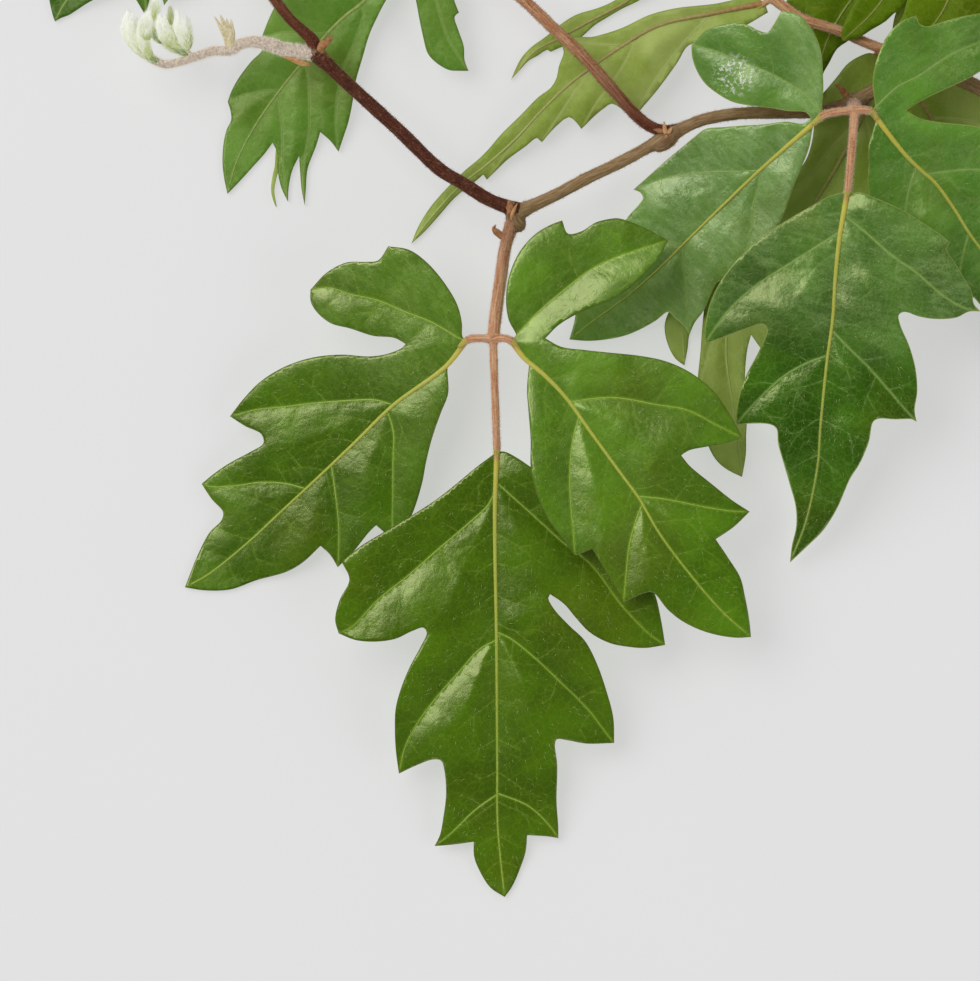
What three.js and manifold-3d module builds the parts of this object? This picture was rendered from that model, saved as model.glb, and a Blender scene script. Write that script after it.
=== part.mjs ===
// A cut spray of grape ivy lying on a surface: a zigzag vine with seven three-part leaves and a
// woolly shoot tip. Millimetres, +Z up. The origin is under the middle of the spray's box.
import * as THREE from "three";
import { mergeVertices } from "three/addons/utils/BufferGeometryUtils.js";
import Module from "manifold-3d";

const wasm = await Module();
wasm.setup();

// Driving dimensions, mm.
const BLADE = 0.8; // thickness of a leaf blade
const PLEAT = 1.5; // how far the blade of a near leaf swells up between its veins
const FAR_PLEAT = 0.8; // the same on the leaves that lie lowest
const PLEAT_WIDTH = 5; // distance from a vein at which half of that swell is reached
const GAP = 0.3; // clearance between a piece and the piece that carries it
const TUBE_SIDES = 8;
const TUBE_STEP = 4; // length of one step of a stem
const VINE_Z = 9; // height of the vine's axis above the surface
const SPRAY_MIDDLE = new THREE.Vector2(13.8, 37.2); // middle of the spray's box, in the drawing's frame

// ---------------------------------------------------------------------------------------------
// Leaflet forms. A leaflet is drawn flat in its own frame: [v, u], where u runs along the midrib
// from its base to its tip and v runs across it. Each side has an edge from base to tip and its
// veins from the lowest to the highest: a vein is the station u where it leaves the midrib, then
// its points, and its last point is a lobe's tip on the edge.

const M_CENTER = {
  midrib: [[0, 0], [-0.5, 10], [-0.6, 30], [-0.8, 50], [-0.9, 60], [0, 71.5]],
  low: {
    from: 0,
    edge: [
      [-0.8, 0.6], [-3.3, 2.4], [-7.3, 5.6], [-10, 7.6], [-13.7, 9.9], [-18.4, 12.6], [-22, 14.7],
      [-25.1, 17.1], [-23.9, 20], [-25.5, 23.2], [-26.3, 26.4], [-25.8, 28.6], [-23.1, 29.7],
      [-19.9, 30], [-16.7, 29.6], [-14, 28.4], [-12.2, 27.9], [-11.7, 28.7], [-12.7, 30.9],
      [-14.5, 34.1], [-16, 37.6], [-16.9, 40.8], [-17.1, 44.3], [-17, 47.7], [-16.6, 51.3],
      [-14, 50.1], [-11.1, 49.1], [-9.8, 49.3], [-9.3, 50.9], [-9.1, 54.7], [-9.6, 58.4],
      [-10.2, 61.3], [-11.1, 63.1], [-8.1, 62.9], [-4.8, 62.5], [-4.8, 64.8], [-4.1, 66.9],
      [-2.3, 69.9],
    ],
    veins: [
      [6.1, [-1.5, 8.4], [-4.9, 11.5], [-10, 15.7], [-14.5, 19.5], [-19.3, 23.2], [-23.6, 27.5],
        [-25.8, 28.6]],
      [30.1, [-3.3, 31.5], [-6.5, 34.9], [-10, 38.7], [-13.5, 43.2], [-15.6, 47.2], [-16.6, 51.3]],
      [54.9, [-4.4, 57.3], [-8.7, 61.3], [-11.1, 63.1]],
    ],
  },
  high: {
    from: 0,
    edge: [
      [1.2, 0], [3.3, 1.1], [5.3, 2.5], [12, 7], [18, 12], [23, 17.5], [25.5, 19], [24.5, 21.5],
      [25.2, 24.3], [25.9, 28], [26.4, 31.4], [23.3, 31.8], [20.7, 31.6], [17.5, 30.9],
      [14.3, 29.1], [12.1, 26.7], [10.3, 24.5], [8.1, 22.9], [7.8, 23.5], [8.7, 25.3], [11.1, 28],
      [13.5, 30.4], [15.3, 33.9], [16.9, 38.7], [17.9, 42.9], [18, 47], [13.5, 47], [10.5, 46.4],
      [8.8, 46.2], [8.5, 46.9], [8.8, 50.4], [8.6, 56.3], [8.8, 60], [8.8, 62.2], [7.3, 61.9],
      [3.8, 61.6], [3.5, 64.3], [2.6, 66.9], [1.2, 69.9],
    ],
    veins: [
      [4.8, [2, 6.9], [6.3, 10.9], [10, 14.4], [14.8, 18.4], [19.6, 25], [23.9, 29.6], [26.4, 31.4]],
      [28.8, [1.5, 29.8], [5.2, 32.8], [9.5, 37], [13.7, 41.3], [16.9, 45.6], [18, 47]],
      [54.7, [4.1, 56.9], [7.3, 60], [8.8, 62.2]],
    ],
  },
};

const M_LEFT = {
  midrib: [[0, 0], [0.9, 5], [0, 15.5], [0.4, 24], [0.7, 32], [0.9, 40], [1.1, 48], [0.7, 56],
    [-0.2, 60]],
  low: {
    from: 0,
    edge: [
      [-0.9, 0], [-2.5, -1.3], [-5.2, -2.7], [-9.5, -3.5], [-13.7, -3.5], [-16.9, -2.7],
      [-19.5, -0.6], [-18.9, 2.1], [-20, 3.7], [-22, 6.1], [-22.9, 9.6], [-22.6, 13.3],
      [-21.2, 14.5], [-19.3, 14.9], [-16.4, 14.4], [-13.7, 12.6], [-10.5, 10.7], [-7.9, 8.3],
      [-6, 7.6], [-5.9, 8.3], [-6.8, 10.9], [-8.4, 13.3], [-11.6, 16.5], [-14.3, 20.3],
      [-16.1, 24.5], [-16.9, 28.8], [-16.7, 32.5], [-16, 36.4], [-13.2, 35.6], [-10.5, 34.5],
      [-9.2, 35.2], [-9.6, 37.9], [-10.4, 41.3], [-10.8, 44.3], [-10.9, 47], [-7.9, 47.4],
      [-5.2, 47.4], [-4.4, 48.5], [-4.2, 51.2], [-2.8, 54.9],
    ],
    veins: [
      [0, [-0.9, 0.5], [-5.7, 2.1], [-10, 4.3], [-14.3, 6.4], [-18, 9.1], [-20.7, 10.7],
        [-22.6, 13.3]],
      [15.5, [-2.5, 17.1], [-5.2, 20.3], [-8.4, 24.5], [-11.6, 29.1], [-14, 32.5], [-16, 36.4]],
      [34.9, [-2, 36.8], [-4.9, 39.8], [-6.8, 42.7], [-9.5, 46.1], [-10.9, 47]],
    ],
  },
  high: {
    from: 4.6,
    edge: [
      [1.5, 5.3], [4.4, 7.7], [6, 10.7], [8.1, 14.4], [10.3, 17.6], [12.4, 20.3], [15.1, 24.8],
      [17.2, 30.3], [14.5, 30.1], [12.6, 30.3], [12.7, 32], [13.4, 36], [13.6, 39.4], [11.3, 39],
      [9.2, 39.2], [9.3, 43.2], [8.7, 46.1], [6.5, 50.7], [4.9, 54.7], [2.3, 57.9],
    ],
    veins: [
      [16.8, [3.3, 18.4], [6.5, 21.3], [11.3, 25.6], [14.5, 28.5], [17.2, 30.3]],
      [29.3, [4.4, 31.8], [8.7, 34.9], [12.4, 38.2], [13.6, 39.4]],
    ],
  },
};

const M_RIGHT = {
  midrib: [[0, 0], [-0.2, 3], [0.6, 7.5], [1, 12.4], [0.6, 19.5], [0.2, 27.7], [0, 32],
    [-1, 38.7], [-1.3, 46.9], [-1, 55], [0, 60.8]],
  low: {
    from: 4.4,
    edge: [
      [-0.6, 5], [-3, 7.5], [-4.9, 10.2], [-7.6, 14.1], [-10.4, 17.6], [-12.2, 21.2], [-13.3, 25],
      [-13.6, 28.8], [-13.7, 32.9], [-10.9, 33.8], [-11.4, 37.4], [-11.9, 40.9], [-12.4, 43.6],
      [-9.2, 44.4], [-7.8, 45.2], [-7.6, 49.1], [-6.8, 52.3], [-4.9, 55.9], [-2.1, 59.2],
    ],
    veins: [
      [16, [-2.1, 18.1], [-4.9, 20.8], [-8.1, 24.7], [-10.9, 28.8], [-13.7, 32.9]],
      [33.2, [-3.2, 35], [-6, 37.1], [-9.2, 40.3], [-12.4, 43.6]],
    ],
  },
  high: {
    from: 0,
    edge: [
      [1, -0.1], [1.7, -2.9], [3.3, -5.6], [6.1, -8.3], [9.9, -10.3], [13.7, -10.9],
      [16.5, -10.5], [18.3, -9.9], [17.7, -7.7], [19.7, -6.6], [22.2, -6.3], [24.4, -5.3],
      [25.5, -4.5], [27.4, -1.5], [28.5, 0.9], [29.4, 3.2], [26.8, 4.3], [23.6, 4.9],
      [19.7, 5.2], [15.9, 4.7], [13.2, 3.8], [9.9, 3], [7.2, 2.7], [4.4, 3], [5.5, 5.6],
      [8.3, 8.6], [11, 11.3], [14.3, 14.6], [17, 17.9], [18.9, 21.7], [19.9, 26.1], [19.7, 30.5],
      [18.9, 35.1], [16.5, 34.2], [13.7, 32.7], [11, 31.3], [9.5, 31.1], [9.5, 33.2],
      [10.4, 37.6], [11.4, 42], [12.4, 45], [8.8, 45.3], [5.4, 45], [5.1, 48.5], [4.6, 52.3],
      [3.3, 55.1], [1.7, 58.1],
    ],
    veins: [
      [0, [2.2, -0.4], [6.6, -1], [11, -1.1], [16.5, -1], [20.8, -0.1], [25.2, 1.5], [29.4, 3.2]],
      [13.3, [3.9, 15], [7.2, 17.4], [11.5, 22.3], [14.8, 26.1], [17, 31], [18.9, 35.1]],
      [31.8, [3.3, 35.1], [7.2, 39.8], [10.4, 43.3], [12.4, 45]],
    ],
  },
};

const R_CENTER = {
  midrib: [[0, 0], [-0.2, 7], [0.1, 14], [0.6, 20], [0.7, 27], [1.2, 37], [1.7, 43.6],
    [1.2, 52.7], [-0.3, 59.5]],
  low: {
    from: 0,
    edge: [
      [-0.6, 0], [-2.6, 0.8], [-5.3, 2.8], [-8.5, 5.3], [-11.2, 7.6], [-13.5, 10], [-16, 13.2],
      [-18, 16.9], [-19.1, 20.5], [-19.3, 24.1], [-19, 26.8], [-16.7, 25.7], [-13, 23.7],
      [-10.3, 22.5], [-9.5, 23.1], [-10.3, 26.8], [-11.7, 30.9], [-12.4, 35], [-12.2, 39],
      [-9.9, 38.4], [-6.7, 38.1], [-5.7, 38.6], [-5.1, 40.9], [-3.7, 44], [-2.2, 47.2],
      [-0.8, 50.4], [-0.2, 53.6], [-0.4, 56.7],
    ],
    veins: [
      [6.2, [-3.1, 8.7], [-7.6, 12.5], [-12.6, 16.9], [-16.2, 21.4], [-19, 26.8]],
      [25.9, [-2.6, 27.7], [-5.8, 30.2], [-9, 34.1], [-11.2, 37.3], [-12.2, 39]],
    ],
  },
  high: {
    from: 0,
    edge: [
      [0.8, -0.1], [1.9, -0.4], [4.6, 0.2], [8.3, 1.2], [11.9, 2.7], [15.1, 4.2], [17.3, 5.5],
      [16.9, 6.7], [18.2, 8.2], [20.1, 10.5], [21.9, 12.8], [22.5, 14.6], [23.7, 15.6],
      [21.9, 15.9], [20.1, 17.1], [16.9, 17.8], [14.2, 17.8], [11.7, 17.4], [10.9, 18],
      [11.4, 19.6], [13.3, 22.7], [14.8, 26.1], [15.6, 29.5], [15.7, 32.7], [16.3, 34.4],
      [15.5, 34.1], [12.8, 34.5], [10.1, 34.8], [9.4, 35.4], [9.2, 38.6], [8.3, 42.2], [7.1, 45],
      [5.8, 49.9], [4.2, 53.6], [1.9, 56.7],
    ],
    veins: [
      [3.5, [3.7, 5.7], [8.3, 8.7], [12.8, 11], [17.3, 13.9], [21, 15.4], [23.7, 15.6]],
      [21.8, [3.7, 24.2], [7.4, 26.9], [10.5, 29.5], [14.2, 32.7], [16.3, 34.4]],
    ],
  },
};

const R_LEFT = {
  midrib: [[0, -0.8], [-0.1, 12], [0.2, 20], [0.6, 28], [1, 35], [0.9, 42], [0.3, 48], [0, 53]],
  low: {
    from: -0.8,
    edge: [
      [-1.1, -1.5], [-2.9, -3.3], [-5.2, -5.2], [-7.7, -7], [-10.2, -8], [-13, -8.4],
      [-14.8, -8.1], [-16.8, -6.6], [-15.9, -3.9], [-15.7, -2.7], [-16.8, -1.9], [-18.8, -1.1],
      [-20.4, 0.2], [-21.6, 2], [-22.4, 3.7], [-22.6, 4.8], [-22.3, 7.5], [-20.9, 8.6],
      [-18.8, 9.5], [-16.3, 9.9], [-13.8, 9.5], [-11.2, 8.6], [-8.7, 6.8], [-6.7, 5], [-4.2, 3],
      [-2.1, 1], [-0.9, 1], [-1.1, 2.5], [-3.1, 4.3], [-5.2, 7.3], [-7.2, 9.8], [-9.2, 12.4],
      [-10.8, 14.6], [-11, 16.4], [-11.1, 19.5], [-11.2, 22.5], [-11.2, 26], [-11.2, 29.5],
      [-10.2, 29], [-9.2, 29.2], [-8.8, 30.6], [-8.6, 32.6], [-8.2, 34.4], [-7.8, 37], [-7, 41],
      [-5.2, 45.5], [-3.4, 48.4], [-1.7, 50.4],
    ],
    veins: [
      [-0.8, [-3.6, -0.9], [-9.2, 0.7], [-12.8, 2.2], [-15.8, 3.7], [-19.3, 5.5], [-22.3, 7.5]],
      [12.5, [-1.6, 14.4], [-4.2, 17.4], [-6.7, 20.5], [-9.2, 24.5], [-11.2, 29.5]],
      [29.5, [-1.6, 31], [-3.6, 32.4], [-6, 34.9], [-7.8, 37]],
    ],
  },
  high: {
    from: 1,
    edge: [
      [0.5, 1.9], [2.4, 4.3], [4, 7.3], [5.5, 10.3], [7, 12.9], [8.5, 15.7], [9.6, 18],
      [10.8, 21.5], [12.3, 26.8], [10.4, 27.6], [8.8, 29.1], [9.5, 31.1], [10.8, 33.9],
      [11.3, 36.2], [12.2, 38.1], [10.3, 37.8], [8.5, 38.1], [7.2, 38.2], [6.9, 40.7],
      [6.2, 43.8], [5.1, 46.6], [2.4, 50.6],
    ],
    veins: [
      [11.8, [1.4, 13.9], [3.4, 16.9], [6.5, 20], [8.9, 23.2], [12.3, 26.8]],
      [29.3, [2.9, 31.2], [5.5, 33.1], [8.5, 35.4], [12.2, 38.1]],
    ],
  },
};

const R_RIGHT = {
  midrib: [[0, 0], [-0.1, 4], [0, 9], [0.6, 13], [1, 15], [0.9, 20], [0.4, 25], [0.2, 32],
    [-0.5, 40], [-0.8, 50], [0, 60.5]],
  low: {
    from: 1.4,
    edge: [
      [-0.8, 1.9], [-2.1, 2.8], [-3.8, 4], [-5.4, 6.1], [-7.1, 8], [-8.8, 10.7], [-10.5, 14],
      [-11.8, 18.5], [-12.3, 22], [-12.3, 25.5], [-10.6, 25.8], [-9.3, 26.3], [-8.9, 29],
      [-8.2, 33.2], [-6.6, 33], [-5.4, 33.3], [-5.2, 34.6], [-5.3, 38], [-6, 42], [-7.4, 46],
      [-5.6, 46.2], [-4.6, 46.8], [-4.2, 50], [-3, 54.5], [-1.4, 58],
    ],
    veins: [
      [11.3, [-2.1, 12.8], [-4.6, 14.9], [-8, 18.6], [-10.5, 22], [-12.3, 25.5]],
      [24.8, [-2.5, 27], [-4.2, 28.5], [-6.5, 31], [-8.2, 33.2]],
      [37, [-3, 40], [-5.5, 43.5], [-7.4, 46]],
    ],
  },
  high: {
    from: 0,
    edge: [
      [0.8, -0.2], [1.7, -1.6], [2.9, -3.5], [4.6, -5.2], [6.7, -6.6], [9.2, -7.8],
      [11.3, -8.3], [13.3, -8.1], [14.9, -7.5], [14.5, -6.2], [15.2, -5.1], [16.7, -4.5],
      [19.2, -3.5], [21.7, -2.3], [24.5, -0.5], [26.8, 2], [28, 5], [25.5, 6.2], [22, 6.4],
      [17.7, 5.8], [15.4, 5.5], [12.5, 4.8], [9.2, 4], [5.8, 3.4], [4.4, 3.3], [5.4, 5.7],
      [6.7, 7.3], [8.8, 9.4], [10.8, 11.3], [12.3, 12.9], [15.3, 16.2], [17.8, 20],
      [19.3, 24.5], [19.5, 29.5], [18.9, 35.1], [16.5, 34.2], [13.7, 32.7], [11, 31.3],
      [9.5, 31.1], [9.5, 33.2], [10.4, 37.6], [11.4, 42], [12.4, 45], [8.8, 45.3], [5.4, 45],
      [5.1, 48.5], [4.6, 52.3], [3.3, 55.1], [1.7, 58.1],
    ],
    veins: [
      [0, [3.3, -0.4], [5.8, -0.5], [9.2, 0.2], [13.3, 0.5], [16.3, 0.9], [22, 2.6], [28, 5]],
      [13.2, [4.2, 15.3], [7.1, 17.3], [11.5, 22], [14.8, 26.1], [17, 31], [18.9, 35.1]],
      [31.8, [3.3, 35.1], [7.2, 39.8], [10.4, 43.3], [12.4, 45]],
    ],
  },
};

const U_LEFT = {
  midrib: [[0, 0], [0.1, 8], [-0.1, 13.3], [-1, 16.4], [-1.7, 20.1], [-2.2, 26], [-2.6, 32.6],
    [-2.4, 40], [-1.4, 46], [0.4, 50.9]],
  low: {
    from: 0,
    edge: [
      [-0.8, 0.5], [-3.5, 3], [-7, 8], [-9.8, 13.5], [-11, 18], [-11.2, 21], [-10.8, 23.9],
      [-9.9, 27.6], [-8.7, 28.9], [-9, 31.4], [-9.1, 34.7], [-8.8, 37.2], [-8.3, 38.9],
      [-7, 39.9], [-6.1, 41], [-5.8, 42.6], [-4.9, 44.7], [-3.3, 47.2], [-1.6, 49.1],
    ],
    veins: [
      [20.5, [-2.8, 21.5], [-5.5, 23.2], [-7.8, 25], [-9.9, 27.6]],
      [32.5, [-4.5, 34], [-6.8, 36.5], [-8.3, 38.9]],
    ],
  },
  high: {
    from: 0,
    edge: [
      [1.2, -0.5], [3.5, -0.9], [6.5, 0.3], [9.2, 2.4], [11.7, 4.5], [13.4, 5.6], [13.2, 6.5],
      [15.1, 8], [17.2, 9.5], [18.6, 11.2], [20.1, 12.2], [19, 13], [17.6, 13.9], [15.9, 14.2],
      [14.2, 14.1], [13, 13.7], [10.9, 12], [8.8, 10.1], [6.8, 8.2], [4.5, 6.2], [2.6, 5.2],
      [2.6, 8], [2.8, 11.2], [3.2, 13.9], [3.8, 16.8], [5.1, 20.5], [6.5, 24.3], [8, 27.2],
      [9.3, 30.1], [10.1, 32.6], [10.8, 34.9], [8.8, 34.3], [6.6, 34.1], [7.4, 36.4],
      [8.4, 40], [10.2, 43], [11.5, 45.1], [9.5, 43.2], [7.6, 41], [6.1, 39.2], [6.6, 41.8],
      [7.8, 44.4], [9, 46.2], [6.8, 45], [4.6, 43], [2.9, 40.8], [1.4, 40], [1.4, 42.2],
      [1.1, 45.1], [0.8, 48],
    ],
    veins: [
      [0, [4.5, 2.8], [9.5, 6.4], [14.3, 9.9], [20.1, 12.2]],
      [13.3, [1.3, 15.1], [2.6, 19.3], [3.8, 24.3], [7.4, 31], [10.8, 34.9]],
      [26, [1.4, 30], [5, 35], [6.8, 38.5], [9, 42], [11.5, 45.1]],
      [33, [1.5, 37.5], [4.5, 41.5], [9, 46.2]],
    ],
  },
};

const B_CENTER = {
  midrib: [[0, 0], [-3.4, 7.9], [-6.6, 16], [-7.2, 22.6], [-7.2, 27.8], [-6.9, 33.2],
    [-5.9, 39.1], [-4.5, 45.1], [-3.7, 51], [-3.3, 56.6], [-1.9, 62.6], [0, 68.4]],
  low: {
    from: 0,
    edge: [
      [-1.7, 0.8], [-4.5, 6.8], [-7.5, 12.5], [-8.9, 16.5], [-9.3, 19.2], [-9.6, 21.1],
      [-10.4, 23.9], [-11.2, 26], [-12.7, 28.1], [-13.5, 30.5], [-12.3, 30.7], [-11.6, 31],
      [-10.2, 32.9], [-8.9, 34.2], [-8.1, 35.9], [-8, 38.3], [-7.2, 42.3], [-6.4, 46.7],
      [-5.6, 49.6], [-5.2, 51.6], [-4.9, 54.6], [-4.2, 58.6], [-3.1, 62.7], [-1.6, 66],
    ],
    veins: [[22.6, [-10, 26.1], [-13.5, 30.5]]],
  },
  high: {
    from: 0,
    edge: [
      [1.5, 0.4], [1.1, 5.6], [0.1, 10.3], [-1.3, 13.8], [-0.1, 16.7], [1, 19.6], [2, 22.6],
      [2.9, 25.9], [3.5, 27.7], [1.1, 28.4], [-0.5, 29.2], [-0.6, 30.5], [-0.4, 32.8],
      [-0.1, 34.3], [0.1, 35.5], [-1.3, 35.6], [-2.6, 36.1], [-2.6, 38.1], [-2.2, 40.1],
      [-1.7, 41.9], [-2.7, 42.2], [-2.6, 44.5], [-2.5, 48], [-2, 50.9], [-1.7, 52.6],
      [-2.7, 52.6], [-2.5, 54.3], [-2.2, 58.4], [-1.2, 62.3], [-0.4, 65.6],
    ],
    veins: [
      [7.9, [-2.2, 13.7], [0.3, 21.3], [3.5, 27.7]],
      [19.5, [-4.1, 25.2], [-2, 31.1], [0.1, 35.5]],
      [27.8, [-5.1, 33.8], [-3.3, 38.2], [-1.7, 41.9]],
      [39.1, [-4, 45.9], [-1.7, 52.6]],
    ],
  },
};

const B_LEFT = {
  midrib: [[0, 0], [-1.9, 3], [-1.2, 10.4], [-0.8, 16.7], [-1.2, 23], [-1.5, 28.5], [-1.8, 33],
    [0, 38.7]],
  low: {
    from: 0,
    edge: [[-1.8, 0.4], [-4, 2.8], [-2.2, 11.1], [-2, 18.4], [-2.4, 20.9], [-3.3, 24.3],
      [-3.3, 27.4], [-2.9, 30.3], [-2.7, 33.2], [-2.1, 35.4], [-1.2, 37]],
    veins: [],
  },
  high: {
    from: 0,
    edge: [[0.9, 0.9], [0, 3], [0.2, 9.7], [0.1, 15], [-0.2, 17.4], [-0.3, 20.6], [-0.3, 22.7],
      [0.1, 24.9], [0.3, 27.3], [-0.2, 29.3], [-0.4, 30.9], [-1, 31.2], [-1, 33], [-1.1, 34.6],
      [-0.7, 36.2]],
    veins: [],
  },
};

const D_CENTER = {
  midrib: [[0, 0], [0, 9.1], [-1.4, 18.9], [-4.2, 29.9], [-8, 39.6], [-9.9, 47.9], [-8.6, 53.3],
    [-5.4, 59.9], [-2.6, 65.7], [0, 71]],
  low: {
    from: 0,
    edge: [
      [-1, 0], [-2.3, 0.1], [-4.9, 2.6], [-6, 5.4], [-6.9, 7.7], [-7.5, 9.3], [-7.3, 12.4],
      [-6.5, 16.4], [-6.5, 19.7], [-8, 23.6], [-11, 27.1], [-13.9, 30], [-11.6, 31.9],
      [-12.5, 36.1], [-14, 39.9], [-14.5, 42.8], [-14.5, 46.4], [-13.7, 50.3], [-12.7, 54.2],
      [-11.9, 57.8], [-10.8, 62.5], [-9.5, 63.3], [-8.3, 65.9], [-6.2, 68.6], [-4.4, 70],
      [-2.4, 70.7],
    ],
    veins: [
      [10, [-3.2, 16.3], [-5.6, 22.6], [-9.5, 27.4], [-13.9, 30]],
      [43.3, [-11.4, 51.3], [-11.2, 57.5], [-10.8, 62.5]],
    ],
  },
  high: {
    from: 0,
    edge: [
      [1.1, 0.7], [2.6, 3.2], [4, 7.8], [5.4, 14.1], [6.7, 22.1], [4.7, 25.2], [4.2, 29.6],
      [3.9, 34.8], [4.2, 40.6], [1.5, 43.7], [0.7, 46.9], [-0.8, 52.4], [-3.7, 50.5],
      [-5.9, 48.9], [-5.7, 51.5], [-4.5, 56.2], [-2.4, 61.4], [-1.5, 64.5], [-0.6, 67.3],
    ],
    veins: [
      [9.1, [4.2, 16.5], [6.7, 22.1]],
      [26.1, [1.4, 34.3], [4.2, 40.6]],
      [41, [-4.2, 47.8], [-0.8, 52.4]],
    ],
  },
};

const D_LEFT = {
  midrib: [[0, 0], [0.8, 12], [-0.2, 29.2], [-4, 46], [-4, 51], [0, 57.4]],
  low: {
    from: 0,
    edge: [[-0.9, 1], [-0.4, 5.3], [-0.6, 11.4], [-0.7, 17.2], [-2, 23.4], [-3.9, 29.8],
      [-5.8, 36.7], [-6.5, 42.9], [-6.8, 48.3], [-6.7, 52], [-6, 54], [-3.8, 56.2],
      [-1.7, 57.3]],
    veins: [],
  },
  high: {
    from: 0,
    edge: [[1.7, 1.4], [2.7, 6.5], [3.6, 14.4], [2.8, 23.5], [1.8, 32.8], [0.5, 41.3],
      [-1.5, 46.3], [-2.4, 49.8], [-2, 52.8], [-1, 54.9]],
    veins: [],
  },
};

const C_LEFT = {
  midrib: [[0, 0], [-2.2, 8.6], [-3.4, 17.2], [-2.6, 23.9], [0, 28.8]],
  low: {
    from: 0,
    edge: [[-1.7, 0.2], [-6.2, 3.6], [-9.7, 9.1], [-11.3, 14.5], [-12.1, 17.6], [-11.6, 19.5],
      [-10.1, 22], [-7.5, 25.1], [-4.6, 27.2], [-1.8, 28.5]],
    veins: [[5, [-6, 11], [-12.1, 17.6]]],
  },
  high: {
    from: 0,
    edge: [[1.9, 1.2], [2.8, 5.2], [2.1, 9.2], [0.9, 12.9], [0.1, 16.2], [-0.3, 18.6],
      [-1.3, 20.6], [-1.4, 23.4], [-1.4, 25.5], [-0.5, 27.2]],
    veins: [],
  },
};

const C_CENTER = {
  midrib: [[0, 0], [0.3, 8.1], [0.7, 15], [0, 21.3]],
  low: {
    from: 0,
    edge: [[-1.2, 1], [-2.1, 7], [-2.4, 12.1], [-2.5, 14.7], [-2.1, 16.9], [-1.6, 19.2],
      [-0.8, 20.9]],
    veins: [],
  },
  high: {
    from: 0,
    edge: [[2, 1.4], [3.4, 5.5], [3.6, 9.7], [4, 10.9], [3.4, 12.7], [3.2, 14.5], [2.3, 17.1],
      [1.8, 18.8], [0.9, 20.4]],
    veins: [],
  },
};

const C_RIGHT = {
  midrib: [[0, 0], [4.7, 7.1], [3.8, 15.2], [0, 21.2]],
  low: {
    from: 0,
    edge: [[-0.7, 1.5], [-1.3, 6.1], [-1.4, 9.9], [-1, 12.1], [-0.8, 14.6], [-1.6, 17],
      [-2, 18.9]],
    veins: [],
  },
  high: {
    from: 0,
    edge: [[2.5, -0.3], [8.3, 1.2], [14.2, 4.8], [16.9, 10.6], [14.8, 14.6], [11.7, 17.6],
      [7.2, 19.2], [3.3, 20.5]],
    veins: [[3.5, [9, 5.5], [16.9, 10.6]]],
  },
};

const N_LEFT = {
  midrib: [[0, 0], [-0.5, 6.4], [-1.5, 13.5], [-2.5, 20.6], [-1.6, 26.3], [0, 29.5]],
  low: {
    from: 0,
    edge: [[-1.6, 0.3], [-2.7, 1.1], [-5.3, 4.1], [-7.6, 7.4], [-8.8, 10.8], [-7.8, 12.7],
      [-9.1, 15.1], [-10.1, 18.3], [-10.3, 21.5], [-8.1, 22.2], [-6.6, 25.2], [-5, 27.3],
      [-3.1, 28.4], [-1.9, 28.9], [-0.8, 29.3]],
    veins: [
      [3.5, [-4, 6.5], [-8.8, 10.8]],
      [12.5, [-5, 16.5], [-10.3, 21.5]],
    ],
  },
  high: {
    from: 0,
    edge: [[0.7, 0.9], [1.3, 1.8], [3.9, 5.6], [6.4, 9.6], [7.9, 13.6], [6.3, 13.1],
      [5.3, 14], [6, 15.2], [7.8, 17], [6.2, 16.9], [4.7, 16.8], [2.2, 16.9], [1.2, 17.7],
      [1.1, 20.2], [0.6, 23.3], [0.5, 25.6], [0.4, 27.2], [0.1, 28.4]],
    veins: [
      [4, [3.3, 8], [7.9, 13.6]],
      [9.5, [3.5, 14.2], [7.8, 17]],
    ],
  },
};

// ---------------------------------------------------------------------------------------------
// The leaves. A leaflet's base is [x, y] in the drawing's frame and baseZ above the surface, its
// heading is the way its midrib runs, counted from +X, and its tip is at tipZ, or on the surface
// where tipZ is 0 or less. sag arches it up along its length; roll lifts its high side and wing
// both sides, in mm for every 10 mm from the midrib.

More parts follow.
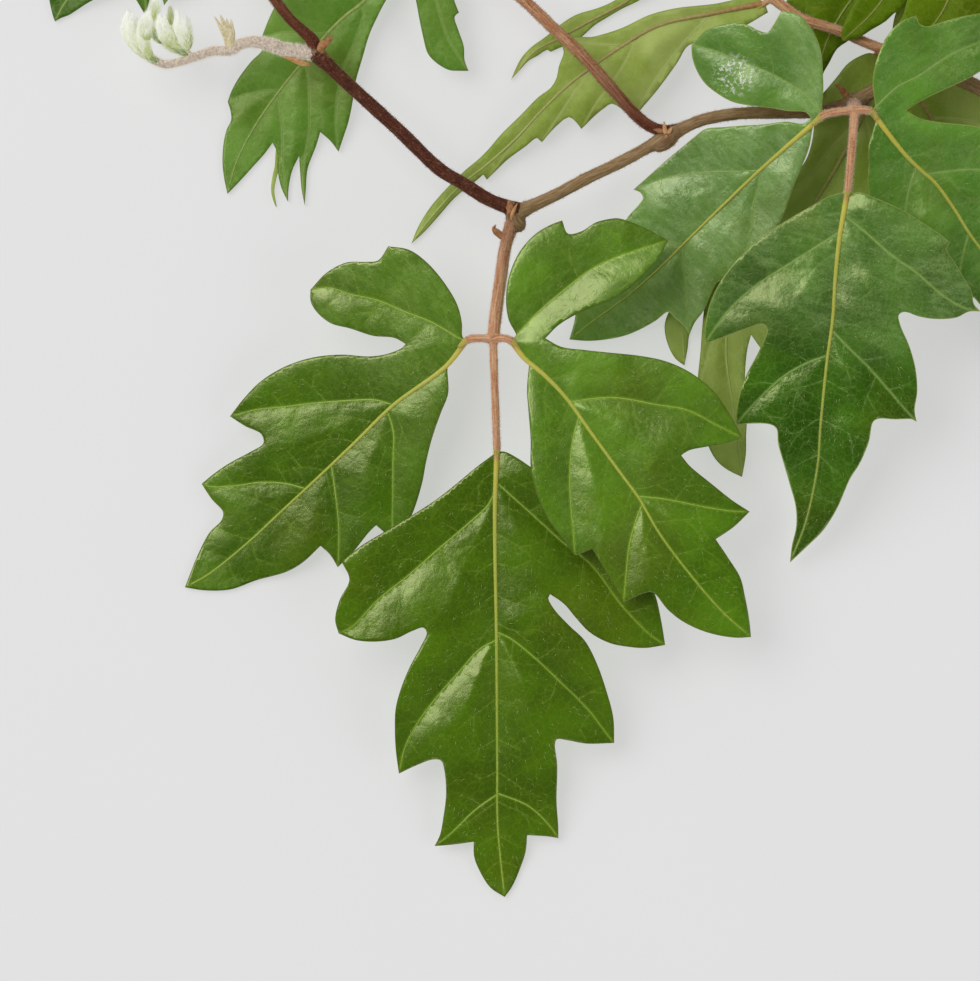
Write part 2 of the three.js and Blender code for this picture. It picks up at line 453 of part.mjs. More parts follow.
const LEAFLETS = [
  { name: "leaf_m_center", form: M_CENTER, base: [1.1, 6.2], heading: -89, baseZ: 12, tipZ: -0.5,
    sag: 1.5, roll: -0.4 },
  { name: "leaf_m_left", form: M_LEFT, base: [-3.8, 23.9], heading: -138.7, baseZ: 12, tipZ: -0.5,
    sag: -1, roll: -0.3 },
  { name: "leaf_m_right", form: M_RIGHT, base: [3.5, 23.8], heading: -51, baseZ: 14.5, tipZ: 8.5,
    sag: 2 },
  { name: "leaf_r_center", form: R_CENTER, base: [56.8, 47.3], heading: -98.1, baseZ: 18, tipZ: 3,
    sag: 3 },
  { name: "leaf_r_left", form: R_LEFT, base: [52.5, 59.3], heading: -138.6, baseZ: 15.5,
    tipZ: -0.5, sag: -1 },
  { name: "leaf_r_right", form: R_RIGHT, base: [60.8, 60.4], heading: -51.6, baseZ: 15.5,
    tipZ: -0.5, sag: 0 },
  { name: "leaf_u_left", form: U_LEFT, base: [-12.5, 89], heading: -126.1, baseZ: 5.4, tipZ: -0.5,
    sag: -0.5 },
  { name: "leaf_u_center", form: R_CENTER, scale: 0.9, base: [-12.8, 92.2], heading: 150,
    baseZ: 7.8, tipZ: -0.5, sag: -0.5, roll: 0.3 },
  { name: "leaf_u_right", form: M_LEFT, scale: 0.8, base: [-9.9, 93.4], heading: 75, baseZ: 6.4,
    tipZ: -0.5, sag: -0.5 },
  { name: "leaf_n_left", form: N_LEFT, base: [-45.6, 92.1], heading: -145.4, baseZ: 7.9,
    tipZ: -0.5, sag: -1, roll: -1.2 },
  { name: "leaf_n_center", form: R_CENTER, scale: 0.55, base: [-45.3, 94.4], heading: 127,
    baseZ: 9.6, tipZ: 7.5, sag: 1 },
  { name: "leaf_n_right", form: M_LEFT, scale: 0.48, base: [-42.9, 93.8], heading: 56, baseZ: 8.4,
    tipZ: 7, sag: 1 },
  { name: "leaf_b_center", form: B_CENTER, base: [44, 78], heading: -145.9, baseZ: 6.6,
    tipZ: -0.5, sag: 0, pleat: FAR_PLEAT },
  { name: "leaf_b_left", form: B_LEFT, base: [36.2, 86.5], heading: -148, baseZ: 3.5, tipZ: -0.5,
    sag: -1, pleat: FAR_PLEAT },
  { name: "leaf_b_right", form: M_LEFT, scale: 0.75, base: [46.1, 80.9], heading: 92, baseZ: 4.2,
    tipZ: -0.5, sag: -0.5, pleat: FAR_PLEAT },
  { name: "leaf_c_left", form: C_LEFT, base: [66.4, 88.4], heading: -117.8, baseZ: 7.6, tipZ: 5.6,
    sag: 0, roll: 0.5, pleat: FAR_PLEAT },
  { name: "leaf_c_center", form: C_CENTER, base: [70.1, 88.1], heading: -130.1, baseZ: 10.6,
    tipZ: 10.6, sag: 0, pleat: FAR_PLEAT },
  { name: "leaf_c_right", form: C_RIGHT, base: [72, 88.4], heading: -112.7, baseZ: 12.6,
    tipZ: 12.4, sag: 0, pleat: FAR_PLEAT },
  { name: "leaf_d_center", form: D_CENTER, base: [63, 69.5], heading: -108.5, baseZ: 4.1,
    tipZ: 1.8, sag: 0, pleat: FAR_PLEAT },
  { name: "leaf_d_left", form: D_LEFT, base: [62.4, 68.3], heading: -122.9, baseZ: 2.2,
    tipZ: -0.5, sag: -1.2, pleat: FAR_PLEAT },
  { name: "leaf_d_right", form: M_RIGHT, scale: 0.85, base: [64.5, 69.2], heading: -60.6,
    baseZ: 3, tipZ: -0.5, sag: -0.5, pleat: FAR_PLEAT },
];

// ---------------------------------------------------------------------------------------------
// The vine: each internode is its points [x, y, z] and its radius; z is counted from VINE_Z.

const INTERNODES = [
  { radius: 1.15, points: [[88.8, 59.6, 0], [83.2, 62, 0], [79.2, 63.8, 0], [75.7, 65.5, 0],
    [69.6, 67.3, 0]] },
  { radius: 1.05, points: [[69.6, 67.3, 0], [64.8, 65.4, 0], [61.3, 63.8, 0], [58.2, 62, 0]] },
  { radius: 0.95, points: [[58.2, 62, 0], [52.8, 60.6, 0], [48, 60.4, 0], [39.4, 60.2, 0],
    [33.6, 59.1, 0], [28.2, 56.5, 0]] },
  { radius: 0.95, points: [[28.2, 56.5, 0], [21.3, 52.7, 0], [15.5, 49.9, 0], [11.2, 47.6, 0],
    [4.8, 44.6, 0]] },
  { radius: 1.05, points: [[4.8, 44.6, 0], [-0.2, 46.5, 0], [-4.2, 49, 0], [-8, 51.3, 0],
    [-14.6, 57.6, 0], [-21.4, 63.8, -0.3], [-27.8, 69.8, -0.5]] },
];

// Swollen joints: centre, half sizes and the way the long one runs in the plane.
const JOINTS = [
  { at: [-27.8, 69.8, -0.5], half: [1.9, 1.4, 1.4], heading: -42 },
  { at: [4.8, 44.4, 0], half: [2.2, 1.6, 1.6], heading: -50 },
  { at: [28.2, 56.3, 0], half: [2.5, 1.7, 1.6], heading: 35 },
  { at: [58.4, 62, 0], half: [2.2, 1.6, 1.5], heading: 0 },
  { at: [69.6, 67.3, 0], half: [2.2, 1.6, 1.5], heading: 10 },
];

// Dry scales and a bud that sit on the joints: root, tip and half width.
const SCALES = [
  { root: [3.2, 44.7, 0.3], tip: [0.7, 42.1, 1], half: 0.5 },
  { root: [4.4, 45.4, 0.7], tip: [3.4, 47, 1.4], half: 0.6 },
  { root: [28.4, 56.8, 0.6], tip: [28.4, 59.2, 1.2], half: 0.55 },
  { root: [29.2, 56.8, 0.6], tip: [30.8, 58.6, 1.1], half: 0.5 },
  { root: [-28.4, 68.6, -0.6], tip: [-33, 68.5, -0.4], half: 0.45 },
  { root: [-26.9, 70, 0], tip: [-25.3, 72.6, 0.4], half: 0.75 },
  { root: [57.4, 62.7, 0.4], tip: [55.2, 64.9, 1], half: 0.55 },
];

// The pale shoot beyond the last joint, its stipules and its folded young leaves.
const SHOOT = [
  { radius: 0.85, points: [[-27.6, 69.9, -0.5], [-32.8, 70.5, -0.3], [-35.2, 71.3, 0],
    [-38.4, 71.7, 0.2], [-40.3, 71.1, 0.2], [-41.3, 70.2, 0.2]] },
  { radius: 0.65, points: [[-41.3, 70.2, 0.2], [-44.5, 70.2, 0], [-46.9, 69.4, 0],
    [-49.3, 68.6, 0], [-51.8, 68.1, 0], [-53.4, 68.6, 0.3], [-54.7, 69.4, 0.6],
    [-55.8, 70.8, 0.8]] },
  { radius: 0.45, points: [[-47.4, 69.3, 0], [-49.6, 70.8, 0.3], [-51, 71.6, 0.5]] },
];
const YOUNG_BLADES = [
  { root: [-41.4, 70, 0.3], tip: [-43.2, 75.8, 1.2], half: 0.75 },
  { root: [-41.2, 70.2, 0.2], tip: [-41.5, 75.6, 0.4], half: 0.7 },
  { root: [-49, 70.2, 0.2], tip: [-48.4, 75.6, 0.8], half: 0.9 },
  { root: [-49.6, 70.6, 0.3], tip: [-50, 76.8, 1.4], half: 1 },
  { root: [-50, 71, 0.3], tip: [-53.2, 76.4, 1.6], half: 1.1 },
  { root: [-54.2, 69, 0.6], tip: [-51.6, 75, 1.4], half: 1.4 },
  { root: [-55, 69.8, 0.6], tip: [-54.6, 77.6, 1.8], half: 1.5 },
  { root: [-55.6, 70.2, 0.6], tip: [-57.6, 76.8, 1], half: 1.5 },
  { root: [-56, 69.8, 0.6], tip: [-58.8, 74.6, 0], half: 1.3 },
];

// Leaf stalks: the petiole from the vine to the leaf's junction, then one stalk for each leaflet.
const PETIOLES = [
  { name: "petiole_m", radius: 1, points: [[3.5, 42.4, 9], [2.4, 38.6, 9.6], [1.7, 33.8, 10.8],
    [0.9, 28, 12], [0.5, 24.1, 12.5]], stalkRadius: 0.65, stalks: [
    [[0.5, 24.1, 12.5], [-1.3, 24.3, 12.3], [-3, 24.2, 12.1]],
    [[0.5, 24.1, 12.5], [1.9, 24.3, 13.5], [2.9, 24.1, 14.3]],
    [[0.5, 24.1, 12.5], [0.8, 15, 12.7], [1.1, 6.9, 12.1]]] },
  { name: "petiole_r", radius: 0.95, points: [[58.2, 61.6, 10], [58.2, 61, 12.5],
    [58.1, 60.6, 15]], stalkRadius: 0.65, stalks: [
    [[58.1, 60.6, 15], [55.5, 60.3, 15.6], [53.4, 59.9, 15.6]],
    [[58.1, 60.6, 15], [59.3, 60.6, 15.5], [60.1, 60.5, 15.6]],
    [[58.1, 60.6, 15], [57.5, 54, 17.8], [56.9, 48, 18.1]]] },
  { name: "petiole_u", radius: 0.95, points: [[26.6, 57.4, 9], [23.5, 60.2, 9], [19, 64.8, 9],
    [14.4, 69.9, 9], [9.8, 74.2, 8.8], [5.3, 78.5, 8.5], [-1.6, 84.1, 8], [-10.4, 90.5, 7.5]],
    stalkRadius: 0.65, stalks: [
    [[-10.4, 90.5, 7.5], [-12, 89.5, 6.1]],
    [[-10.4, 90.5, 7.5], [-12.3, 91.8, 7.8]],
    [[-10.4, 90.5, 7.5], [-10, 92.7, 6.8]]] },
  { name: "petiole_n", radius: 0.85, points: [[-28.4, 71.9, 8.9], [-31.9, 75.3, 9],
    [-34.4, 78.5, 9], [-37.6, 83, 9.2], [-40.8, 87.3, 9.2], [-43.6, 91.8, 9.2]],
    stalkRadius: 0.5, stalks: [
    [[-43.6, 91.8, 9.2], [-45.2, 92.1, 8.2]],
    [[-43.6, 91.8, 9.2], [-44.9, 93.8, 9.6]],
    [[-43.6, 91.8, 9.2], [-43.1, 93.1, 8.6]]] },
  { name: "petiole_b", radius: 0.85, points: [[68.2, 68.6, 9], [65.6, 69.6, 9], [60.8, 71.3, 8.8],
    [56, 73.4, 8.5], [49.6, 75.6, 8.4], [45.1, 78.8, 7.8]], stalkRadius: 0.55, stalks: [
    [[45.1, 78.8, 7.8], [44.4, 78.3, 7.2]],
    [[45.1, 78.8, 7.8], [42.4, 83, 5.8], [38.4, 85.9, 4.2], [37, 86.4, 3.7]],
    [[45.1, 78.8, 7.8], [46, 80.3, 4.9]]] },
  { name: "petiole_d", radius: 0.85, points: [[69.2, 66.8, 8], [66.6, 69.2, 6.2],
    [63.7, 71.1, 5.4]], stalkRadius: 0.55, stalks: [
    [[63.7, 71.1, 5.4], [63.2, 70.1, 4.5]],
    [[63.7, 71.1, 5.4], [62.2, 70.4, 3.6], [61.9, 69.2, 2.2]],
    [[63.7, 71.1, 5.4], [64.4, 70, 3.9]]] },
  { name: "petiole_c", radius: 0.85, points: [[83, 62.6, 9.5], [82.6, 70.5, 9.3],
    [80, 78.5, 9.3], [76, 85.7, 9.5], [72, 90, 9.8], [69.6, 91, 9.8]], stalkRadius: 0.55,
    stalks: [
    [[69.6, 91, 9.8], [68, 89.9, 8.6], [66.8, 89.1, 8]],
    [[69.6, 91, 9.8], [69.9, 89.8, 10.3], [70.1, 88.9, 10.6]],
    [[69.6, 91, 9.8], [71, 90.2, 11.6], [71.8, 89.2, 12.5]]] },
];

// ---------------------------------------------------------------------------------------------
// Materials.

const material = (colour, roughness) =>
  new THREE.MeshStandardMaterial({ color: colour, roughness, metalness: 0 });
const LEAF_GREEN = material(0x3f7a1e, 0.35);
const SHADE_GREEN = material(0x4b7a1c, 0.5);
const PETIOLE_PINK = material(0xa8705a, 0.7);
const VINE_BROWN = material(0x6b4a34, 0.75);
const SHOOT_PALE = material(0xd5d8b4, 0.85);

// ---------------------------------------------------------------------------------------------
// Solids.

// A closed geometry as a manifold-3d solid.
function solidOf(geometry) {
  const bare = geometry.clone();
  bare.deleteAttribute("normal");
  bare.deleteAttribute("uv");
  const merged = mergeVertices(bare, 1e-4);
  return new wasm.Manifold(new wasm.Mesh({
    numProp: 3,
    vertProperties: merged.attributes.position.array,
    triVerts: new Uint32Array(merged.index.array),
  }));
}

// A solid as a three.js geometry.
function geometryOf(solid) {
  const { vertProperties, triVerts } = solid.getMesh();
  const geometry = new THREE.BufferGeometry();
  geometry.setAttribute("position", new THREE.BufferAttribute(vertProperties, 3));
  geometry.setIndex(new THREE.BufferAttribute(triVerts, 1));
  geometry.computeVertexNormals();
  return geometry;
}

const join = (solids) => solids.reduce((whole, next) => whole.add(next));

// A round stem through points.
function tube(points, radius) {
  const path = new THREE.CatmullRomCurve3(points.map((p) => new THREE.Vector3(...p)));
  const section = new THREE.Shape();
  for (let i = 0; i < TUBE_SIDES; i++) {
    const turn = ((i + 0.5) / TUBE_SIDES) * 2 * Math.PI;
    const [x, y] = [radius * Math.cos(turn), radius * Math.sin(turn)];
    if (i) section.lineTo(x, y);
    else section.moveTo(x, y);
  }
  section.closePath();
  const steps = Math.max(2, Math.round(path.getLength() / TUBE_STEP));
  return solidOf(new THREE.ExtrudeGeometry(section, { steps, extrudePath: path, curveSegments: 1 }));
}

// An ellipsoid with its long axis along a direction.
function ellipsoid(centre, half, direction, segments = 10) {
  const geometry = new THREE.SphereGeometry(1, segments, Math.ceil(segments * 0.6));
  geometry.scale(...half);
  const turn = new THREE.Quaternion()
    .setFromUnitVectors(new THREE.Vector3(1, 0, 0), direction.clone().normalize());
  geometry.applyQuaternion(turn).translate(...centre);
  return solidOf(geometry);
}

// A small pointed blade or scale from its root to its tip.
function sliver({ root, tip, half }) {
  const [a, b] = [new THREE.Vector3(...root), new THREE.Vector3(...tip)];
  const length = a.distanceTo(b);
  const middle = a.clone().add(b).multiplyScalar(0.5);
  return ellipsoid(middle.toArray(), [length * 0.6, half, half * 0.7], b.sub(a), 6);
}

const lifted = (points) => points.map(([x, y, z]) => [x, y, VINE_Z + z]);
const liftedSliver = ({ root, tip, half }) =>
  sliver({ root: lifted([root])[0], tip: lifted([tip])[0], half });

// The woody vine with its swollen joints, grown by a clearance.
function vineBody(clearance) {
  const stems = INTERNODES.map(({ points, radius }) => tube(lifted(points), radius + clearance));
  const joints = JOINTS.map(({ at, half, heading }) => {
    const turn = THREE.MathUtils.degToRad(heading);
    const direction = new THREE.Vector3(Math.cos(turn), Math.sin(turn), 0);
    return ellipsoid(lifted([at])[0], half.map((h) => h + clearance), direction);
  });
  return join([...stems, ...joints]);
}

const vineWithScales = () => join([vineBody(0), ...SCALES.map(liftedSliver)]);
const vineClearance = vineBody(GAP);

function shootTip() {
  const stems = SHOOT.map(({ points, radius }) => tube(lifted(points), radius));
  return join([...stems, ...YOUNG_BLADES.map(liftedSliver)]).subtract(vineClearance);
}

function petiole({ points, radius, stalks, stalkRadius }) {
  const junction = ellipsoid(points.at(-1), [1.15, 1.15, 1.15].map((h) => h * radius),
    new THREE.Vector3(1, 0, 0), 8);
  const arms = stalks.map((stalk) => tube(stalk, stalkRadius));
  return join([tube(points, radius), junction, ...arms]).subtract(vineClearance);
}

// ---------------------------------------------------------------------------------------------
// Leaf blades.

const lengthOf = (form) => form.midrib.at(-1)[1];

// Distance from a point to a polyline.
function distanceTo(line, [v, u]) {
  let least = Infinity;
  for (let i = 0; i + 1 < line.length; i++) {
    const [[av, au], [bv, bu]] = [line[i], line[i + 1]];
    const [dv, du] = [bv - av, bu - au];
    const along = ((v - av) * dv + (u - au) * du) / (dv * dv + du * du);
    const share = Math.min(1, Math.max(0, along));
    least = Math.min(least, Math.hypot(v - av - share * dv, u - au - share * du));
  }
  return least;
}

// The midrib's point at a station, on a smooth curve.
function onMidrib({ midrib }, station) {
  const curve = new THREE.CubicInterpolant(midrib.map(([, u]) => u), midrib.map(([v]) => v), 1);
  return [curve.evaluate(station)[0], station];
}

// Every vein as a polyline, the midrib among them.
function veinLines(form) {
  const sides = [...form.low.veins, ...form.high.veins];
  return [form.midrib, ...sides.map(([station, ...points]) => [onMidrib(form, station), ...points])];
}

// Midrib points between two stations, with every vein's root among them.
function midribRun(form, from, to) {
  const roots = [...form.low.veins, ...form.high.veins].map(([station]) => station);
  const stations = [...form.midrib.map(([, u]) => u), ...roots, form.low.from, form.high.from];
  const inside = [...new Set(stations)].filter((u) => u >= from && u <= to);
  return inside.sort((a, b) => a - b).map((u) => onMidrib(form, u));
}

// The panels of one side: each lies between two neighbouring veins, the midrib and the edge.
function sidePanels(form, side) {
  const panels = [];
  let station = side.from;
  let corner = 0;
  let returnPath = [];
  for (const [root, ...points] of side.veins) {
    const [tipV, tipU] = points.at(-1);
    const end = side.edge.findIndex(([v, u]) => v === tipV && u === tipU);
    panels.push([...midribRun(form, station, root), ...points,
      ...side.edge.slice(corner, end).reverse(), ...returnPath]);
    station = root;
    corner = end;
    returnPath = points.slice(0, -1).reverse();
  }
  panels.push([...midribRun(form, station, lengthOf(form)),
    ...side.edge.slice(corner).reverse(), ...returnPath]);
  return panels;
}

// Height of the blade's middle surface.
function bladeHeight(leaflet, veins, [v, u]) {
  const { form, baseZ, tipZ, sag = 0, roll = 0, wing = 0, pleat = PLEAT, scale = 1 } = leaflet;
  const along = u / lengthOf(form);
  const near = Math.min(...veins.map((line) => distanceTo(line, [v, u]))) * scale;
  const run = baseZ + (tipZ - baseZ) * along + sag * 4 * along * (1 - along);
  const across = (v * roll + Math.abs(v) * wing) * scale / 10;
  const swell = (pleat * near) / (near + PLEAT_WIDTH);
  return Math.max(BLADE / 2, run + across + swell);
}

// A leaflet's blade: its panels cut into triangles, doubled at the blade's thickness and walled.
function blade(leaflet) {
  const { form, base, heading, scale = 1 } = leaflet;
  const turn = THREE.MathUtils.degToRad(heading);
  const [cos, sin] = [Math.cos(turn) * scale, Math.sin(turn) * scale];
  const veins = veinLines(form);
  const indexOf = new Map();
  const points = [];
  const placed = (flat) => {
    const key = flat.map((n) => n.toFixed(3)).join();
    if (!indexOf.has(key)) {
      const [v, u] = flat;
      indexOf.set(key, points.length);
      points.push([base[0] + u * cos - v * sin, base[1] + u * sin + v * cos,
        bladeHeight(leaflet, veins, flat)]);
    }
    return indexOf.get(key);
  };

  const triangles = [];
  for (const panel of [...sidePanels(form, form.low), ...sidePanels(form, form.high)]) {
    const flat = panel.map(([v, u]) => new THREE.Vector2(v, u));
    const corners = panel.map(placed);
    for (const [a, b, c] of THREE.ShapeUtils.triangulateShape(flat, [])) {
      triangles.push([corners[a], corners[c], corners[b]]);
    }
  }

  const edges = new Set(triangles.flatMap(([a, b, c]) => [`${a},${b}`, `${b},${c}`, `${c},${a}`]));
  const under = points.length;
  const faces = triangles.flatMap(([a, b, c]) => [a, b, c, under + a, under + c, under + b]);
  for (const edge of edges) {
    const [a, b] = edge.split(",").map(Number);
    if (!edges.has(`${b},${a}`)) faces.push(a, under + a, under + b, a, under + b, b);
  }
  const half = BLADE / 2;
  const vertices = [...points.map(([x, y, z]) => [x, y, z + half]),
    ...points.map(([x, y, z]) => [x, y, z - half])];
  const geometry = new THREE.BufferGeometry();
  geometry.setAttribute("position", new THREE.Float32BufferAttribute(vertices.flat(), 3));
  geometry.setIndex(faces);
  geometry.computeVertexNormals();
  return geometry;
}

// ---------------------------------------------------------------------------------------------
// The spray.

const spray = new THREE.Group();
spray.position.set(-SPRAY_MIDDLE.x, -SPRAY_MIDDLE.y, 0);

function addPiece(name, geometry, finish) {
  const mesh = new THREE.Mesh(geometry, finish);
  mesh.name = name;
  spray.add(mesh);
}

addPiece("vine", geometryOf(vineWithScales()), VINE_BROWN);
addPiece("shoot_tip", geometryOf(shootTip()), SHOOT_PALE);
for (const stalk of PETIOLES) addPiece(stalk.name, geometryOf(petiole(stalk)), PETIOLE_PINK);
for (const leaflet of LEAFLETS) {
  const finish = leaflet.pleat === FAR_PLEAT ? SHADE_GREEN : LEAF_GREEN;
  addPiece(leaflet.name, blade(leaflet), finish);
}

const part = new THREE.Group();
part.add(spray);

export default part;
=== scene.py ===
"""A cut spray of grape ivy on a pale surface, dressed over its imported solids.

The tables are in millimetres, in the drawing's frame: the surface is at z = 0 and the view is from above.
"""

import math
from collections import namedtuple

import bpy
import numpy as np
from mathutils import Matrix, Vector, kdtree
from mathutils.geometry import delaunay_2d_cdt


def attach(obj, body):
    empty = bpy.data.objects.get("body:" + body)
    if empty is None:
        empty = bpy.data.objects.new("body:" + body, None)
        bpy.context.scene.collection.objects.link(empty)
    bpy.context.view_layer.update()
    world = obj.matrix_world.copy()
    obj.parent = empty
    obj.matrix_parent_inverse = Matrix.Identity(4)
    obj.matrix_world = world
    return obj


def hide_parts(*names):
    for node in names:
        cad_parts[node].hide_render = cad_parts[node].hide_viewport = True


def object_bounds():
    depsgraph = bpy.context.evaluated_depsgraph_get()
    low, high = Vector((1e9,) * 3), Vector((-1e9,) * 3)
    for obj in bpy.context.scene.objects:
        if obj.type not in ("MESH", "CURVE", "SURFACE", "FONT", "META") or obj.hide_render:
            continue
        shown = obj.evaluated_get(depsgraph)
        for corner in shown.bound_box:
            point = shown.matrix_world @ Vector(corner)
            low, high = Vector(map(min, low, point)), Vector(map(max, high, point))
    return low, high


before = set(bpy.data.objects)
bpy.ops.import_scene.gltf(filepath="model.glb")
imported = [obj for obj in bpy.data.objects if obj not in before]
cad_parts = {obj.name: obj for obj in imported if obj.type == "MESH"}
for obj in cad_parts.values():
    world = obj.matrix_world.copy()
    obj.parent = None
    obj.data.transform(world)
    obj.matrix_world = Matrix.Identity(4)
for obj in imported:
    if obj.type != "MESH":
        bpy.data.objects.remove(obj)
CAD_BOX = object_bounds()

MM = 0.001  # metres
SPRAY_MIDDLE = (13.8, 37.2)  # middle of the spray's box, in the drawing's frame

# Blades. Sizes are mm wherever nothing else is said.
SOLID_BLADE = 0.8  # thickness of a blade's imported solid
BLADE = 0.4  # thickness of a blade as it is shown
PLEAT = 1.5  # how far the blade of a near leaf swells up between its veins
FAR_PLEAT = 0.8  # the same on the leaves that lie lowest
BULGE = 1.5  # how much fuller a blade swells here than its flat-faced solid does
BULGE_WIDTH = 6.0  # from a vein to where the blade has swollen up
FULL_FROM, FULL_OVER = 0.55, 0.3  # shares of the length: where the base's fullness turns into the tip's
MIDDLE, MIDDLE_WIDTH = 0.5, 0.14  # shares of the length: where the middle's fullness is, and its reach
SETTLE = 0.12  # softness of the turn where a blade meets the surface
CEILING = 19.95  # no blade swells higher than the solids reach
CURL, CURL_WIDTH = 0.4, 1.6  # how far a blade's margin turns down, and how wide that margin is
PUCKER, PUCKER_WIDTH = 0.12, 0.9  # swelling between the fine veins, and how far from one it is reached
RIPPLE, RIGHT_RIPPLE = 0.1, 0.3  # height of slow waves over a blade, and over the more uneven right leaf
WAVELENGTHS = (19.0, 11.0, 7.0, 4.6)  # of those waves
NEAR_GRID, FAR_GRID = 0.5, 0.8  # spacing of a near blade's vertices, and of a far or rescaled one's
ROW_STEP = 0.866  # between rows of even triangles, as a share of their sides
FLECKS = (38.9, 66.2)  # middle of the white flecks on the right leaf, in the drawing's frame

# Veins and hairs. Radii are at the tip, then what is added up to the base.
MIDRIB_TIP, MIDRIB_TAPER = 0.12, 0.22
MIDRIB_FOOT, FOOT_LENGTH = 0.17, 7  # what thickens a midrib's foot, and over which length
FULL_MIDRIB = 120  # a leaflet under half this length has a thinner midrib
SIDE_TIP, SIDE_TAPER = 0.07, 0.08
FINE_ROOT, FINE_TAPER = 0.062, 0.027  # at a fine vein's root, and what its tip lacks
FINE_VEIN_STEP = 5.2  # between the fine veins that leave the midrib
FINE_STEP = 0.35  # between the points of a fine vein
FINE_TURN = (52, 72)  # degrees between a fine vein and the vein that it leaves
FINE_FROM_MIDRIB, FINE_FROM_SIDE = (4.5, 9.5), (3, 7)  # lengths
FORK_TURN = 0.75  # radians
EDGE_CLEAR, VEIN_CLEAR = 0.7, 0.35  # fine veins stop this far from the edge and from a vein
LEAF_HAIR = 0.085  # width of a near blade's hairs, at their root
HAIR_SPACING = 1.9  # mean distance between them
HAIRY_LEAVES = ("leaf_m", "leaf_r")

# Stems.
VINE_Z = 9.0  # height of the vine's axis above the surface
SKIN_VOXEL, SHOOT_VOXEL = 0.21, 0.17  # grids on which stems and their branches are fused
SKIN_SHRINK = 0.03  # what smoothing takes off a fused stem's radius
RIDGE = 0.02  # height of a stem's fine lengthwise ridges
STALK_SINK = 1.3  # how far a leaf stalk runs into its joint
MIDRIB_SINK = 0.3  # how far under a leaflet's base its stalk ends
STALK_RUN = (0.2, 1.6)  # how far the stalk's last two points lie beyond that base, along the midrib
STALK_SLACK, BRANCH_SLACK = 0.96, 0.95  # a stalk's shown radius over its solid's
JOINT_TONE = 0.6  # of the bark there: 0 is young and red-brown, 1 is old and olive brown
VINE_DOWN = (14000, 0.5, 0.045)  # the vine's hairs: how many, their length and their width at the root
SHOOT_DOWN = (7500, 0.75, 0.04, 0.6)  # the same of the shoot's, and how far they lean
STALK_DOWN = (0.5, 0.042)  # length and width of a stalk's hairs
MANY_HAIRS, FEW_HAIRS = 150, 50  # for each mm of a near or far stalk
HAIRY_STALKS = ("petiole_m", "petiole_r", "petiole_n", "petiole_u")
DARK_STALKS = ("petiole_u", "petiole_n")
WOOL_WIDTH = 0.055  # of the young leaves' hairs, at their root
STALK_TONES = {  # from the vine to the leaf's junction: 0 dark red, 1 salmon
    "petiole_u": (0.0, 0.1, 0.5, 0.75, 0.8, 0.8, 0.8),
    "petiole_n": (0.0, 0.3),
    "petiole_m": (0.45, 0.85, 1.0),
    "petiole_r": 0.62,
}
STALK_TONE = 0.8  # of the others
BRANCH_TONE, BRANCH_TIP_TONE = 0.95, 1.4

# First numbers for the random draws of each kind of thing.
WAVE_SEED, FINE_SEED, HAIR_SEED = 100, 500, 900
VINE_SEED, STALK_SEED, SHOOT_SEED = 21, 31, 41

FULLNESS = {  # of a blade's swelling: at its base, at its tip, and how much more half way
    "leaf_m_center": (0.58, 0.25, 0.5),
    "leaf_m_left": (0.42, 0.0, -0.05),
    "leaf_m_right": (0.9, 0.45, 0.0),
    "leaf_r_center": (0.6, 0.35, 0.1),
    "leaf_r_left": (0.4, 0.3, 0.1),
    "leaf_r_right": (0.5, 0.4, 0.0),
    "leaf_u_center": (0.4, 0.4, 0.0),
    "leaf_u_left": (0.4, 0.4, 0.0),
    "leaf_u_right": (0.4, 0.4, 0.0),
}
EVENLY_FULL = (1.0, 1.0, 0.0)  # the other blades

# The view, the floor and the lights.
VIEW_WIDTH = 156.8  # of the photograph's frame, on the plane through the vine
VIEW_PLANE = 9.0  # height of that plane
LENS, SENSOR = 400.0, 36.0  # a long lens: the photograph shows next to no perspective
FLOOR_GLOW = 0.5  # light that the floor gives itself, which softens the shadows on it
FLOOR_HALF, FLOOR_DROP = 6.0, 0.0003  # half width, and how far under the spray, metres
DOME_RISE = (0.45, 0.93)  # the dome dims between these heights, 0 the horizon and 1 overhead
DOME_LIGHT = (0.6, 0.02)  # its strength under the first and over the second

